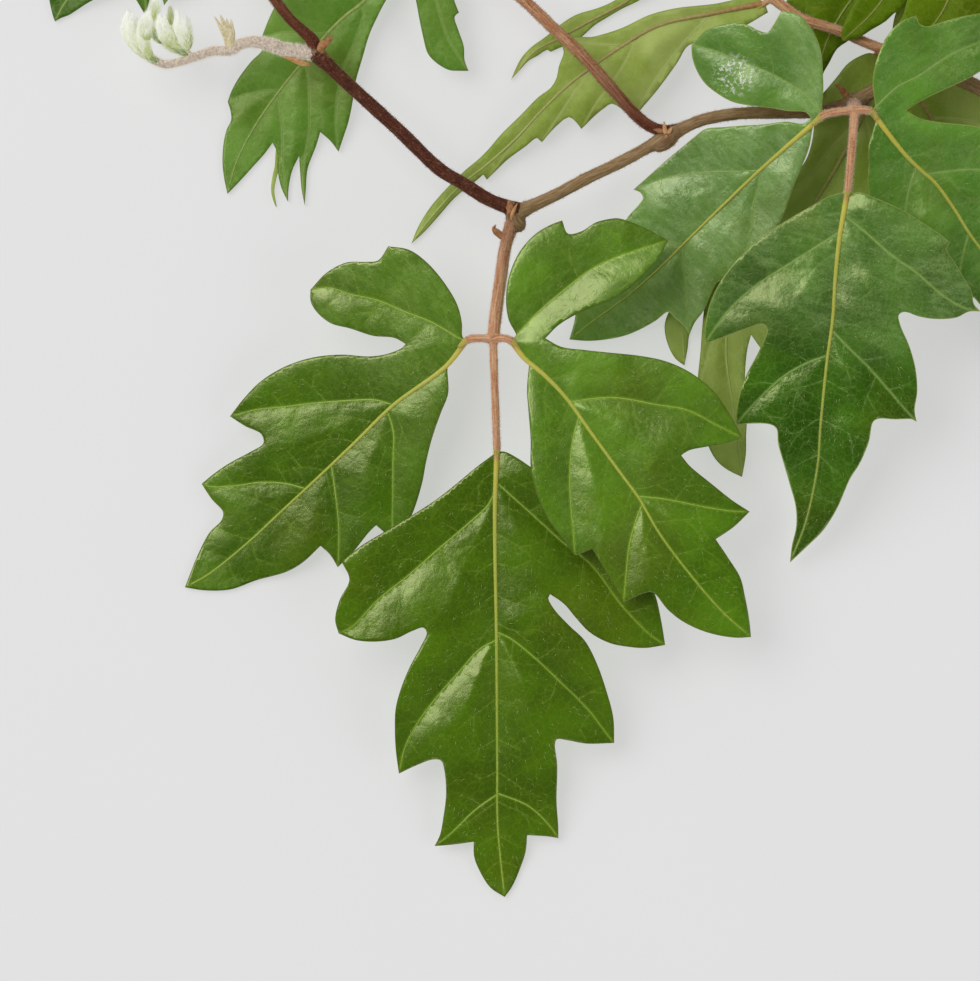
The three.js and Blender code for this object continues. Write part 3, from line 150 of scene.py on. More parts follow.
# A leaflet's flat form, v across it and u along it from its base: the midrib, then for the side of low v and
# the side of high v where the edge starts on the midrib, the edge from there to the tip, and the side veins.
# All are flat lists of v, u, and a vein's list has the u of its root before them.
FORMS = {
    "M_CENTER": (
        [0, 0, -0.5, 10, -0.6, 30, -0.8, 50, -0.9, 60, 0, 71.5],
        (0, [-0.8, 0.6, -3.3, 2.4, -7.3, 5.6, -10, 7.6, -13.7, 9.9, -18.4, 12.6, -22, 14.7, -25.1, 17.1,
         -23.9, 20, -25.5, 23.2, -26.3, 26.4, -25.8, 28.6, -23.1, 29.7, -19.9, 30, -16.7, 29.6, -14, 28.4,
         -12.2, 27.9, -11.7, 28.7, -12.7, 30.9, -14.5, 34.1, -16, 37.6, -16.9, 40.8, -17.1, 44.3, -17, 47.7,
         -16.6, 51.3, -14, 50.1, -11.1, 49.1, -9.8, 49.3, -9.3, 50.9, -9.1, 54.7, -9.6, 58.4, -10.2, 61.3,
         -11.1, 63.1, -8.1, 62.9, -4.8, 62.5, -4.8, 64.8, -4.1, 66.9, -2.3, 69.9],
         [6.1, -1.5, 8.4, -4.9, 11.5, -10, 15.7, -14.5, 19.5, -19.3, 23.2, -23.6, 27.5, -25.8, 28.6],
         [30.1, -3.3, 31.5, -6.5, 34.9, -10, 38.7, -13.5, 43.2, -15.6, 47.2, -16.6, 51.3],
         [54.9, -4.4, 57.3, -8.7, 61.3, -11.1, 63.1]),
        (0, [1.2, 0, 3.3, 1.1, 5.3, 2.5, 12, 7, 18, 12, 23, 17.5, 25.5, 19, 24.5, 21.5, 25.2, 24.3,
         25.9, 28, 26.4, 31.4, 23.3, 31.8, 20.7, 31.6, 17.5, 30.9, 14.3, 29.1, 12.1, 26.7, 10.3, 24.5,
         8.1, 22.9, 7.8, 23.5, 8.7, 25.3, 11.1, 28, 13.5, 30.4, 15.3, 33.9, 16.9, 38.7, 17.9, 42.9, 18, 47,
         13.5, 47, 10.5, 46.4, 8.8, 46.2, 8.5, 46.9, 8.8, 50.4, 8.6, 56.3, 8.8, 60, 8.8, 62.2, 7.3, 61.9,
         3.8, 61.6, 3.5, 64.3, 2.6, 66.9, 1.2, 69.9],
         [4.8, 2, 6.9, 6.3, 10.9, 10, 14.4, 14.8, 18.4, 19.6, 25, 23.9, 29.6, 26.4, 31.4],
         [28.8, 1.5, 29.8, 5.2, 32.8, 9.5, 37, 13.7, 41.3, 16.9, 45.6, 18, 47],
         [54.7, 4.1, 56.9, 7.3, 60, 8.8, 62.2]),
    ),
    "M_LEFT": (
        [0, 0, 0.9, 5, 0, 15.5, 0.4, 24, 0.7, 32, 0.9, 40, 1.1, 48, 0.7, 56, -0.2, 60],
        (0, [-0.9, 0, -2.5, -1.3, -5.2, -2.7, -9.5, -3.5, -13.7, -3.5, -16.9, -2.7, -19.5, -0.6, -18.9, 2.1,
         -20, 3.7, -22, 6.1, -22.9, 9.6, -22.6, 13.3, -21.2, 14.5, -19.3, 14.9, -16.4, 14.4, -13.7, 12.6,
         -10.5, 10.7, -7.9, 8.3, -6, 7.6, -5.9, 8.3, -6.8, 10.9, -8.4, 13.3, -11.6, 16.5, -14.3, 20.3,
         -16.1, 24.5, -16.9, 28.8, -16.7, 32.5, -16, 36.4, -13.2, 35.6, -10.5, 34.5, -9.2, 35.2, -9.6, 37.9,
         -10.4, 41.3, -10.8, 44.3, -10.9, 47, -7.9, 47.4, -5.2, 47.4, -4.4, 48.5, -4.2, 51.2, -2.8, 54.9],
         [0, -0.9, 0.5, -5.7, 2.1, -10, 4.3, -14.3, 6.4, -18, 9.1, -20.7, 10.7, -22.6, 13.3],
         [15.5, -2.5, 17.1, -5.2, 20.3, -8.4, 24.5, -11.6, 29.1, -14, 32.5, -16, 36.4],
         [34.9, -2, 36.8, -4.9, 39.8, -6.8, 42.7, -9.5, 46.1, -10.9, 47]),
        (4.6, [1.5, 5.3, 4.4, 7.7, 6, 10.7, 8.1, 14.4, 10.3, 17.6, 12.4, 20.3, 15.1, 24.8, 17.2, 30.3,
         14.5, 30.1, 12.6, 30.3, 12.7, 32, 13.4, 36, 13.6, 39.4, 11.3, 39, 9.2, 39.2, 9.3, 43.2, 8.7, 46.1,
         6.5, 50.7, 4.9, 54.7, 2.3, 57.9],
         [16.8, 3.3, 18.4, 6.5, 21.3, 11.3, 25.6, 14.5, 28.5, 17.2, 30.3],
         [29.3, 4.4, 31.8, 8.7, 34.9, 12.4, 38.2, 13.6, 39.4]),
    ),
    "M_RIGHT": (
        [0, 0, -0.2, 3, 0.6, 7.5, 1, 12.4, 0.6, 19.5, 0.2, 27.7, 0, 32, -1, 38.7, -1.3, 46.9, -1, 55,
         0, 60.8],
        (4.4, [-0.6, 5, -3, 7.5, -4.9, 10.2, -7.6, 14.1, -10.4, 17.6, -12.2, 21.2, -13.3, 25, -13.6, 28.8,
         -13.7, 32.9, -10.9, 33.8, -11.4, 37.4, -11.9, 40.9, -12.4, 43.6, -9.2, 44.4, -7.8, 45.2,
         -7.6, 49.1, -6.8, 52.3, -4.9, 55.9, -2.1, 59.2],
         [16, -2.1, 18.1, -4.9, 20.8, -8.1, 24.7, -10.9, 28.8, -13.7, 32.9],
         [33.2, -3.2, 35, -6, 37.1, -9.2, 40.3, -12.4, 43.6]),
        (0, [1, -0.1, 1.7, -2.9, 3.3, -5.6, 6.1, -8.3, 9.9, -10.3, 13.7, -10.9, 16.5, -10.5, 18.3, -9.9,
         17.7, -7.7, 19.7, -6.6, 22.2, -6.3, 24.4, -5.3, 25.5, -4.5, 27.4, -1.5, 28.5, 0.9, 29.4, 3.2,
         26.8, 4.3, 23.6, 4.9, 19.7, 5.2, 15.9, 4.7, 13.2, 3.8, 9.9, 3, 7.2, 2.7, 4.4, 3, 5.5, 5.6,
         8.3, 8.6, 11, 11.3, 14.3, 14.6, 17, 17.9, 18.9, 21.7, 19.9, 26.1, 19.7, 30.5, 18.9, 35.1,
         16.5, 34.2, 13.7, 32.7, 11, 31.3, 9.5, 31.1, 9.5, 33.2, 10.4, 37.6, 11.4, 42, 12.4, 45, 8.8, 45.3,
         5.4, 45, 5.1, 48.5, 4.6, 52.3, 3.3, 55.1, 1.7, 58.1],
         [0, 2.2, -0.4, 6.6, -1, 11, -1.1, 16.5, -1, 20.8, -0.1, 25.2, 1.5, 29.4, 3.2],
         [13.3, 3.9, 15, 7.2, 17.4, 11.5, 22.3, 14.8, 26.1, 17, 31, 18.9, 35.1],
         [31.8, 3.3, 35.1, 7.2, 39.8, 10.4, 43.3, 12.4, 45]),
    ),
    "R_CENTER": (
        [0, 0, -0.2, 7, 0.1, 14, 0.6, 20, 0.7, 27, 1.2, 37, 1.7, 43.6, 1.2, 52.7, -0.3, 59.5],
        (0, [-0.6, 0, -2.6, 0.8, -5.3, 2.8, -8.5, 5.3, -11.2, 7.6, -13.5, 10, -16, 13.2, -18, 16.9,
         -19.1, 20.5, -19.3, 24.1, -19, 26.8, -16.7, 25.7, -13, 23.7, -10.3, 22.5, -9.5, 23.1, -10.3, 26.8,
         -11.7, 30.9, -12.4, 35, -12.2, 39, -9.9, 38.4, -6.7, 38.1, -5.7, 38.6, -5.1, 40.9, -3.7, 44,
         -2.2, 47.2, -0.8, 50.4, -0.2, 53.6, -0.4, 56.7],
         [6.2, -3.1, 8.7, -7.6, 12.5, -12.6, 16.9, -16.2, 21.4, -19, 26.8],
         [25.9, -2.6, 27.7, -5.8, 30.2, -9, 34.1, -11.2, 37.3, -12.2, 39]),
        (0, [0.8, -0.1, 1.9, -0.4, 4.6, 0.2, 8.3, 1.2, 11.9, 2.7, 15.1, 4.2, 17.3, 5.5, 16.9, 6.7,
         18.2, 8.2, 20.1, 10.5, 21.9, 12.8, 22.5, 14.6, 23.7, 15.6, 21.9, 15.9, 20.1, 17.1, 16.9, 17.8,
         14.2, 17.8, 11.7, 17.4, 10.9, 18, 11.4, 19.6, 13.3, 22.7, 14.8, 26.1, 15.6, 29.5, 15.7, 32.7,
         16.3, 34.4, 15.5, 34.1, 12.8, 34.5, 10.1, 34.8, 9.4, 35.4, 9.2, 38.6, 8.3, 42.2, 7.1, 45,
         5.8, 49.9, 4.2, 53.6, 1.9, 56.7],
         [3.5, 3.7, 5.7, 8.3, 8.7, 12.8, 11, 17.3, 13.9, 21, 15.4, 23.7, 15.6],
         [21.8, 3.7, 24.2, 7.4, 26.9, 10.5, 29.5, 14.2, 32.7, 16.3, 34.4]),
    ),
    "R_LEFT": (
        [0, -0.8, -0.1, 12, 0.2, 20, 0.6, 28, 1, 35, 0.9, 42, 0.3, 48, 0, 53],
        (-0.8, [-1.1, -1.5, -2.9, -3.3, -5.2, -5.2, -7.7, -7, -10.2, -8, -13, -8.4, -14.8, -8.1,
         -16.8, -6.6, -15.9, -3.9, -15.7, -2.7, -16.8, -1.9, -18.8, -1.1, -20.4, 0.2, -21.6, 2, -22.4, 3.7,
         -22.6, 4.8, -22.3, 7.5, -20.9, 8.6, -18.8, 9.5, -16.3, 9.9, -13.8, 9.5, -11.2, 8.6, -8.7, 6.8,
         -6.7, 5, -4.2, 3, -2.1, 1, -0.9, 1, -1.1, 2.5, -3.1, 4.3, -5.2, 7.3, -7.2, 9.8, -9.2, 12.4,
         -10.8, 14.6, -11, 16.4, -11.1, 19.5, -11.2, 22.5, -11.2, 26, -11.2, 29.5, -10.2, 29, -9.2, 29.2,
         -8.8, 30.6, -8.6, 32.6, -8.2, 34.4, -7.8, 37, -7, 41, -5.2, 45.5, -3.4, 48.4, -1.7, 50.4],
         [-0.8, -3.6, -0.9, -9.2, 0.7, -12.8, 2.2, -15.8, 3.7, -19.3, 5.5, -22.3, 7.5],
         [12.5, -1.6, 14.4, -4.2, 17.4, -6.7, 20.5, -9.2, 24.5, -11.2, 29.5],
         [29.5, -1.6, 31, -3.6, 32.4, -6, 34.9, -7.8, 37]),
        (1, [0.5, 1.9, 2.4, 4.3, 4, 7.3, 5.5, 10.3, 7, 12.9, 8.5, 15.7, 9.6, 18, 10.8, 21.5, 12.3, 26.8,
         10.4, 27.6, 8.8, 29.1, 9.5, 31.1, 10.8, 33.9, 11.3, 36.2, 12.2, 38.1, 10.3, 37.8, 8.5, 38.1,
         7.2, 38.2, 6.9, 40.7, 6.2, 43.8, 5.1, 46.6, 2.4, 50.6],
         [11.8, 1.4, 13.9, 3.4, 16.9, 6.5, 20, 8.9, 23.2, 12.3, 26.8],
         [29.3, 2.9, 31.2, 5.5, 33.1, 8.5, 35.4, 12.2, 38.1]),
    ),
    "R_RIGHT": (
        [0, 0, -0.1, 4, 0, 9, 0.6, 13, 1, 15, 0.9, 20, 0.4, 25, 0.2, 32, -0.5, 40, -0.8, 50, 0, 60.5],
        (1.4, [-0.8, 1.9, -2.1, 2.8, -3.8, 4, -5.4, 6.1, -7.1, 8, -8.8, 10.7, -10.5, 14, -11.8, 18.5,
         -12.3, 22, -12.3, 25.5, -10.6, 25.8, -9.3, 26.3, -8.9, 29, -8.2, 33.2, -6.6, 33, -5.4, 33.3,
         -5.2, 34.6, -5.3, 38, -6, 42, -7.4, 46, -5.6, 46.2, -4.6, 46.8, -4.2, 50, -3, 54.5, -1.4, 58],
         [11.3, -2.1, 12.8, -4.6, 14.9, -8, 18.6, -10.5, 22, -12.3, 25.5],
         [24.8, -2.5, 27, -4.2, 28.5, -6.5, 31, -8.2, 33.2],
         [37, -3, 40, -5.5, 43.5, -7.4, 46]),
        (0, [0.8, -0.2, 1.7, -1.6, 2.9, -3.5, 4.6, -5.2, 6.7, -6.6, 9.2, -7.8, 11.3, -8.3, 13.3, -8.1,
         14.9, -7.5, 14.5, -6.2, 15.2, -5.1, 16.7, -4.5, 19.2, -3.5, 21.7, -2.3, 24.5, -0.5, 26.8, 2, 28, 5,
         25.5, 6.2, 22, 6.4, 17.7, 5.8, 15.4, 5.5, 12.5, 4.8, 9.2, 4, 5.8, 3.4, 4.4, 3.3, 5.4, 5.7,
         6.7, 7.3, 8.8, 9.4, 10.8, 11.3, 12.3, 12.9, 15.3, 16.2, 17.8, 20, 19.3, 24.5, 19.5, 29.5,
         18.9, 35.1, 16.5, 34.2, 13.7, 32.7, 11, 31.3, 9.5, 31.1, 9.5, 33.2, 10.4, 37.6, 11.4, 42, 12.4, 45,
         8.8, 45.3, 5.4, 45, 5.1, 48.5, 4.6, 52.3, 3.3, 55.1, 1.7, 58.1],
         [0, 3.3, -0.4, 5.8, -0.5, 9.2, 0.2, 13.3, 0.5, 16.3, 0.9, 22, 2.6, 28, 5],
         [13.2, 4.2, 15.3, 7.1, 17.3, 11.5, 22, 14.8, 26.1, 17, 31, 18.9, 35.1],
         [31.8, 3.3, 35.1, 7.2, 39.8, 10.4, 43.3, 12.4, 45]),
    ),
    "U_LEFT": (
        [0, 0, 0.1, 8, -0.1, 13.3, -1, 16.4, -1.7, 20.1, -2.2, 26, -2.6, 32.6, -2.4, 40, -1.4, 46,
         0.4, 50.9],
        (0, [-0.8, 0.5, -3.5, 3, -7, 8, -9.8, 13.5, -11, 18, -11.2, 21, -10.8, 23.9, -9.9, 27.6, -8.7, 28.9,
         -9, 31.4, -9.1, 34.7, -8.8, 37.2, -8.3, 38.9, -7, 39.9, -6.1, 41, -5.8, 42.6, -4.9, 44.7,
         -3.3, 47.2, -1.6, 49.1],
         [20.5, -2.8, 21.5, -5.5, 23.2, -7.8, 25, -9.9, 27.6],
         [32.5, -4.5, 34, -6.8, 36.5, -8.3, 38.9]),
        (0, [1.2, -0.5, 3.5, -0.9, 6.5, 0.3, 9.2, 2.4, 11.7, 4.5, 13.4, 5.6, 13.2, 6.5, 15.1, 8, 17.2, 9.5,
         18.6, 11.2, 20.1, 12.2, 19, 13, 17.6, 13.9, 15.9, 14.2, 14.2, 14.1, 13, 13.7, 10.9, 12, 8.8, 10.1,
         6.8, 8.2, 4.5, 6.2, 2.6, 5.2, 2.6, 8, 2.8, 11.2, 3.2, 13.9, 3.8, 16.8, 5.1, 20.5, 6.5, 24.3,
         8, 27.2, 9.3, 30.1, 10.1, 32.6, 10.8, 34.9, 8.8, 34.3, 6.6, 34.1, 7.4, 36.4, 8.4, 40, 10.2, 43,
         11.5, 45.1, 9.5, 43.2, 7.6, 41, 6.1, 39.2, 6.6, 41.8, 7.8, 44.4, 9, 46.2, 6.8, 45, 4.6, 43,
         2.9, 40.8, 1.4, 40, 1.4, 42.2, 1.1, 45.1, 0.8, 48],
         [0, 4.5, 2.8, 9.5, 6.4, 14.3, 9.9, 20.1, 12.2],
         [13.3, 1.3, 15.1, 2.6, 19.3, 3.8, 24.3, 7.4, 31, 10.8, 34.9],
         [26, 1.4, 30, 5, 35, 6.8, 38.5, 9, 42, 11.5, 45.1],
         [33, 1.5, 37.5, 4.5, 41.5, 9, 46.2]),
    ),
    "B_CENTER": (
        [0, 0, -3.4, 7.9, -6.6, 16, -7.2, 22.6, -7.2, 27.8, -6.9, 33.2, -5.9, 39.1, -4.5, 45.1, -3.7, 51,
         -3.3, 56.6, -1.9, 62.6, 0, 68.4],
        (0, [-1.7, 0.8, -4.5, 6.8, -7.5, 12.5, -8.9, 16.5, -9.3, 19.2, -9.6, 21.1, -10.4, 23.9, -11.2, 26,
         -12.7, 28.1, -13.5, 30.5, -12.3, 30.7, -11.6, 31, -10.2, 32.9, -8.9, 34.2, -8.1, 35.9, -8, 38.3,
         -7.2, 42.3, -6.4, 46.7, -5.6, 49.6, -5.2, 51.6, -4.9, 54.6, -4.2, 58.6, -3.1, 62.7, -1.6, 66],
         [22.6, -10, 26.1, -13.5, 30.5]),
        (0, [1.5, 0.4, 1.1, 5.6, 0.1, 10.3, -1.3, 13.8, -0.1, 16.7, 1, 19.6, 2, 22.6, 2.9, 25.9, 3.5, 27.7,
         1.1, 28.4, -0.5, 29.2, -0.6, 30.5, -0.4, 32.8, -0.1, 34.3, 0.1, 35.5, -1.3, 35.6, -2.6, 36.1,
         -2.6, 38.1, -2.2, 40.1, -1.7, 41.9, -2.7, 42.2, -2.6, 44.5, -2.5, 48, -2, 50.9, -1.7, 52.6,
         -2.7, 52.6, -2.5, 54.3, -2.2, 58.4, -1.2, 62.3, -0.4, 65.6],
         [7.9, -2.2, 13.7, 0.3, 21.3, 3.5, 27.7],
         [19.5, -4.1, 25.2, -2, 31.1, 0.1, 35.5],
         [27.8, -5.1, 33.8, -3.3, 38.2, -1.7, 41.9],
         [39.1, -4, 45.9, -1.7, 52.6]),
    ),
    "B_LEFT": (
        [0, 0, -1.9, 3, -1.2, 10.4, -0.8, 16.7, -1.2, 23, -1.5, 28.5, -1.8, 33, 0, 38.7],
        (0, [-1.8, 0.4, -4, 2.8, -2.2, 11.1, -2, 18.4, -2.4, 20.9, -3.3, 24.3, -3.3, 27.4, -2.9, 30.3,
         -2.7, 33.2, -2.1, 35.4, -1.2, 37]),
        (0, [0.9, 0.9, 0, 3, 0.2, 9.7, 0.1, 15, -0.2, 17.4, -0.3, 20.6, -0.3, 22.7, 0.1, 24.9, 0.3, 27.3,
         -0.2, 29.3, -0.4, 30.9, -1, 31.2, -1, 33, -1.1, 34.6, -0.7, 36.2]),
    ),
    "D_CENTER": (
        [0, 0, 0, 9.1, -1.4, 18.9, -4.2, 29.9, -8, 39.6, -9.9, 47.9, -8.6, 53.3, -5.4, 59.9, -2.6, 65.7,
         0, 71],
        (0, [-1, 0, -2.3, 0.1, -4.9, 2.6, -6, 5.4, -6.9, 7.7, -7.5, 9.3, -7.3, 12.4, -6.5, 16.4, -6.5, 19.7,
         -8, 23.6, -11, 27.1, -13.9, 30, -11.6, 31.9, -12.5, 36.1, -14, 39.9, -14.5, 42.8, -14.5, 46.4,
         -13.7, 50.3, -12.7, 54.2, -11.9, 57.8, -10.8, 62.5, -9.5, 63.3, -8.3, 65.9, -6.2, 68.6, -4.4, 70,
         -2.4, 70.7],
         [10, -3.2, 16.3, -5.6, 22.6, -9.5, 27.4, -13.9, 30],
         [43.3, -11.4, 51.3, -11.2, 57.5, -10.8, 62.5]),
        (0, [1.1, 0.7, 2.6, 3.2, 4, 7.8, 5.4, 14.1, 6.7, 22.1, 4.7, 25.2, 4.2, 29.6, 3.9, 34.8, 4.2, 40.6,
         1.5, 43.7, 0.7, 46.9, -0.8, 52.4, -3.7, 50.5, -5.9, 48.9, -5.7, 51.5, -4.5, 56.2, -2.4, 61.4,
         -1.5, 64.5, -0.6, 67.3],
         [9.1, 4.2, 16.5, 6.7, 22.1],
         [26.1, 1.4, 34.3, 4.2, 40.6],
         [41, -4.2, 47.8, -0.8, 52.4]),
    ),
    "D_LEFT": (
        [0, 0, 0.8, 12, -0.2, 29.2, -4, 46, -4, 51, 0, 57.4],
        (0, [-0.9, 1, -0.4, 5.3, -0.6, 11.4, -0.7, 17.2, -2, 23.4, -3.9, 29.8, -5.8, 36.7, -6.5, 42.9,
         -6.8, 48.3, -6.7, 52, -6, 54, -3.8, 56.2, -1.7, 57.3]),
        (0, [1.7, 1.4, 2.7, 6.5, 3.6, 14.4, 2.8, 23.5, 1.8, 32.8, 0.5, 41.3, -1.5, 46.3, -2.4, 49.8,
         -2, 52.8, -1, 54.9]),
    ),
    "C_LEFT": (
        [0, 0, -2.2, 8.6, -3.4, 17.2, -2.6, 23.9, 0, 28.8],
        (0, [-1.7, 0.2, -6.2, 3.6, -9.7, 9.1, -11.3, 14.5, -12.1, 17.6, -11.6, 19.5, -10.1, 22, -7.5, 25.1,
         -4.6, 27.2, -1.8, 28.5],
         [5, -6, 11, -12.1, 17.6]),
        (0, [1.9, 1.2, 2.8, 5.2, 2.1, 9.2, 0.9, 12.9, 0.1, 16.2, -0.3, 18.6, -1.3, 20.6, -1.4, 23.4,
         -1.4, 25.5, -0.5, 27.2]),
    ),
    "C_CENTER": (
        [0, 0, 0.3, 8.1, 0.7, 15, 0, 21.3],
        (0, [-1.2, 1, -2.1, 7, -2.4, 12.1, -2.5, 14.7, -2.1, 16.9, -1.6, 19.2, -0.8, 20.9]),
        (0, [2, 1.4, 3.4, 5.5, 3.6, 9.7, 4, 10.9, 3.4, 12.7, 3.2, 14.5, 2.3, 17.1, 1.8, 18.8, 0.9, 20.4]),
    ),
    "C_RIGHT": (
        [0, 0, 4.7, 7.1, 3.8, 15.2, 0, 21.2],
        (0, [-0.7, 1.5, -1.3, 6.1, -1.4, 9.9, -1, 12.1, -0.8, 14.6, -1.6, 17, -2, 18.9]),
        (0, [2.5, -0.3, 8.3, 1.2, 14.2, 4.8, 16.9, 10.6, 14.8, 14.6, 11.7, 17.6, 7.2, 19.2, 3.3, 20.5],
         [3.5, 9, 5.5, 16.9, 10.6]),
    ),
    "N_LEFT": (
        [0, 0, -0.5, 6.4, -1.5, 13.5, -2.5, 20.6, -1.6, 26.3, 0, 29.5],
        (0, [-1.6, 0.3, -2.7, 1.1, -5.3, 4.1, -7.6, 7.4, -8.8, 10.8, -7.8, 12.7, -9.1, 15.1, -10.1, 18.3,
         -10.3, 21.5, -8.1, 22.2, -6.6, 25.2, -5, 27.3, -3.1, 28.4, -1.9, 28.9, -0.8, 29.3],
         [3.5, -4, 6.5, -8.8, 10.8],
         [12.5, -5, 16.5, -10.3, 21.5]),
        (0, [0.7, 0.9, 1.3, 1.8, 3.9, 5.6, 6.4, 9.6, 7.9, 13.6, 6.3, 13.1, 5.3, 14, 6, 15.2, 7.8, 17,
         6.2, 16.9, 4.7, 16.8, 2.2, 16.9, 1.2, 17.7, 1.1, 20.2, 0.6, 23.3, 0.5, 25.6, 0.4, 27.2, 0.1, 28.4],
         [4, 3.3, 8, 7.9, 13.6],
         [9.5, 3.5, 14.2, 7.8, 17]),
    ),
}

# Where each leaflet lies: its form, base, heading in degrees and the heights of its base and its tip, then
# how far it arches up half way, how far it rises over 10 mm across, its scale and its pleat.
Leaflet = namedtuple("Leaflet", "name form base heading base_z tip_z sag roll scale pleat",
                     defaults=(0, 0, 1, PLEAT))
LEAFLETS = [
    Leaflet("leaf_m_center", "M_CENTER", (1.1, 6.2), -89, 12, -0.5, sag=1.5, roll=-0.4),
    Leaflet("leaf_m_left", "M_LEFT", (-3.8, 23.9), -138.7, 12, -0.5, sag=-1, roll=-0.3),
    Leaflet("leaf_m_right", "M_RIGHT", (3.5, 23.8), -51, 14.5, 8.5, sag=2),
    Leaflet("leaf_r_center", "R_CENTER", (56.8, 47.3), -98.1, 18, 3, sag=3),
    Leaflet("leaf_r_left", "R_LEFT", (52.5, 59.3), -138.6, 15.5, -0.5, sag=-1),
    Leaflet("leaf_r_right", "R_RIGHT", (60.8, 60.4), -51.6, 15.5, -0.5),
    Leaflet("leaf_u_left", "U_LEFT", (-12.5, 89), -126.1, 5.4, -0.5, sag=-0.5),
    Leaflet("leaf_u_center", "R_CENTER", (-12.8, 92.2), 150, 7.8, -0.5, sag=-0.5, roll=0.3, scale=0.9),
    Leaflet("leaf_u_right", "M_LEFT", (-9.9, 93.4), 75, 6.4, -0.5, sag=-0.5, scale=0.8),
    Leaflet("leaf_n_left", "N_LEFT", (-45.6, 92.1), -145.4, 7.9, -0.5, sag=-1, roll=-1.2),
    Leaflet("leaf_n_center", "R_CENTER", (-45.3, 94.4), 127, 9.6, 7.5, sag=1, scale=0.55),
    Leaflet("leaf_n_right", "M_LEFT", (-42.9, 93.8), 56, 8.4, 7, sag=1, scale=0.48),
    Leaflet("leaf_b_center", "B_CENTER", (44, 78), -145.9, 6.6, -0.5, pleat=FAR_PLEAT),
    Leaflet("leaf_b_left", "B_LEFT", (36.2, 86.5), -148, 3.5, -0.5, sag=-1, pleat=FAR_PLEAT),
    Leaflet("leaf_b_right", "M_LEFT", (46.1, 80.9), 92, 4.2, -0.5, sag=-0.5, scale=0.75, pleat=FAR_PLEAT),
    Leaflet("leaf_c_left", "C_LEFT", (66.4, 88.4), -117.8, 7.6, 5.6, roll=0.5, pleat=FAR_PLEAT),
    Leaflet("leaf_c_center", "C_CENTER", (70.1, 88.1), -130.1, 10.6, 10.6, pleat=FAR_PLEAT),
    Leaflet("leaf_c_right", "C_RIGHT", (72, 88.4), -112.7, 12.6, 12.4, pleat=FAR_PLEAT),
    Leaflet("leaf_d_center", "D_CENTER", (63, 69.5), -108.5, 4.1, 1.8, pleat=FAR_PLEAT),
    Leaflet("leaf_d_left", "D_LEFT", (62.4, 68.3), -122.9, 2.2, -0.5, sag=-1.2, pleat=FAR_PLEAT),
    Leaflet("leaf_d_right", "M_RIGHT", (64.5, 69.2), -60.6, 3, -0.5, sag=-0.5, scale=0.85, pleat=FAR_PLEAT),
]

# The vine from its cut end on: each internode's radius, tone and points, z from the vine's axis.
INTERNODES = [
    (1.15, 1, [88.8, 59.6, 0, 83.2, 62, 0, 79.2, 63.8, 0, 75.7, 65.5, 0, 69.6, 67.3, 0]),
    (1.05, 1, [69.6, 67.3, 0, 64.8, 65.4, 0, 61.3, 63.8, 0, 58.2, 62, 0]),
    (0.95, (0.6, 0.8), [58.2, 62, 0, 52.8, 60.6, 0, 48, 60.4, 0, 39.4, 60.2, 0, 33.6, 59.1, 0,
     28.2, 56.5, 0]),
    (0.95, 1, [28.2, 56.5, 0, 21.3, 52.7, 0, 15.5, 49.9, 0, 11.2, 47.6, 0, 4.8, 44.6, 0]),
    (1.05, (0, 0.05), [4.8, 44.6, 0, -0.2, 46.5, 0, -4.2, 49, 0, -8, 51.3, 0, -14.6, 57.6, 0,
     -21.4, 63.8, -0.3, -27.8, 69.8, -0.5]),
]
JOINTS = [  # the swollen joints: centre, half length, half width and heading
    (-27.8, 69.8, -0.5, 1.9, 1.4, -42),
    (4.1, 43.4, 0, 2.3, 1.55, -65),
    (28, 56, 0, 2.6, 1.6, 35),
    (58.4, 62, 0, 2.2, 1.6, 0),
    (69.6, 67.3, 0, 2.2, 1.6, 10),
]
SCALES = [  # on the joints: half width, whether tan rather than dry brown, and points
    (0.55, False, [2.3, 40.2, 0.3, 1.3, 41.1, 0.6, 0.6, 41.8, 0.8, 0.9, 42.4, 1]),
    (0.6, False, [3.4, 44, 0.9, 3.2, 45.2, 1.1, 3, 46.4, 1.2]),
    (0.3, True, [3.3, 43.2, 1.2, 3.8, 44.7, 1.5, 4.4, 45.9, 1.5]),
    (0.38, False, [27.9, 57.3, 1.1, 26.9, 57.5, 1.3, 26.1, 57.6, 1.3]),
    (0.34, True, [28, 56.8, 1.3, 27.9, 57.8, 1.5, 27.8, 58.9, 1.5]),
    (0.3, True, [28.2, 57, 1.3, 28.7, 57.4, 1.4, 29, 58.1, 1.4]),
    (0.3, True, [28.2, 56.2, 1.3, 28.1, 56.6, 1.6, 28, 56.9, 1.7]),
    (0.42, True, [-28.7, 68.1, -0.2, -30.4, 68.4, 0, -31.8, 69, 0, -33.3, 69.4, 0]),
    (0.68, False, [-27, 69.8, 0.4, -27, 70.8, 0.7, -26.2, 71.6, 0.9, -25.5, 72.2, 0.8, -25.3, 72.8, 0.7]),
    (0.5, False, [57.4, 62.7, 0.4, 56.2, 64, 0.8, 55.2, 64.9, 1]),
]

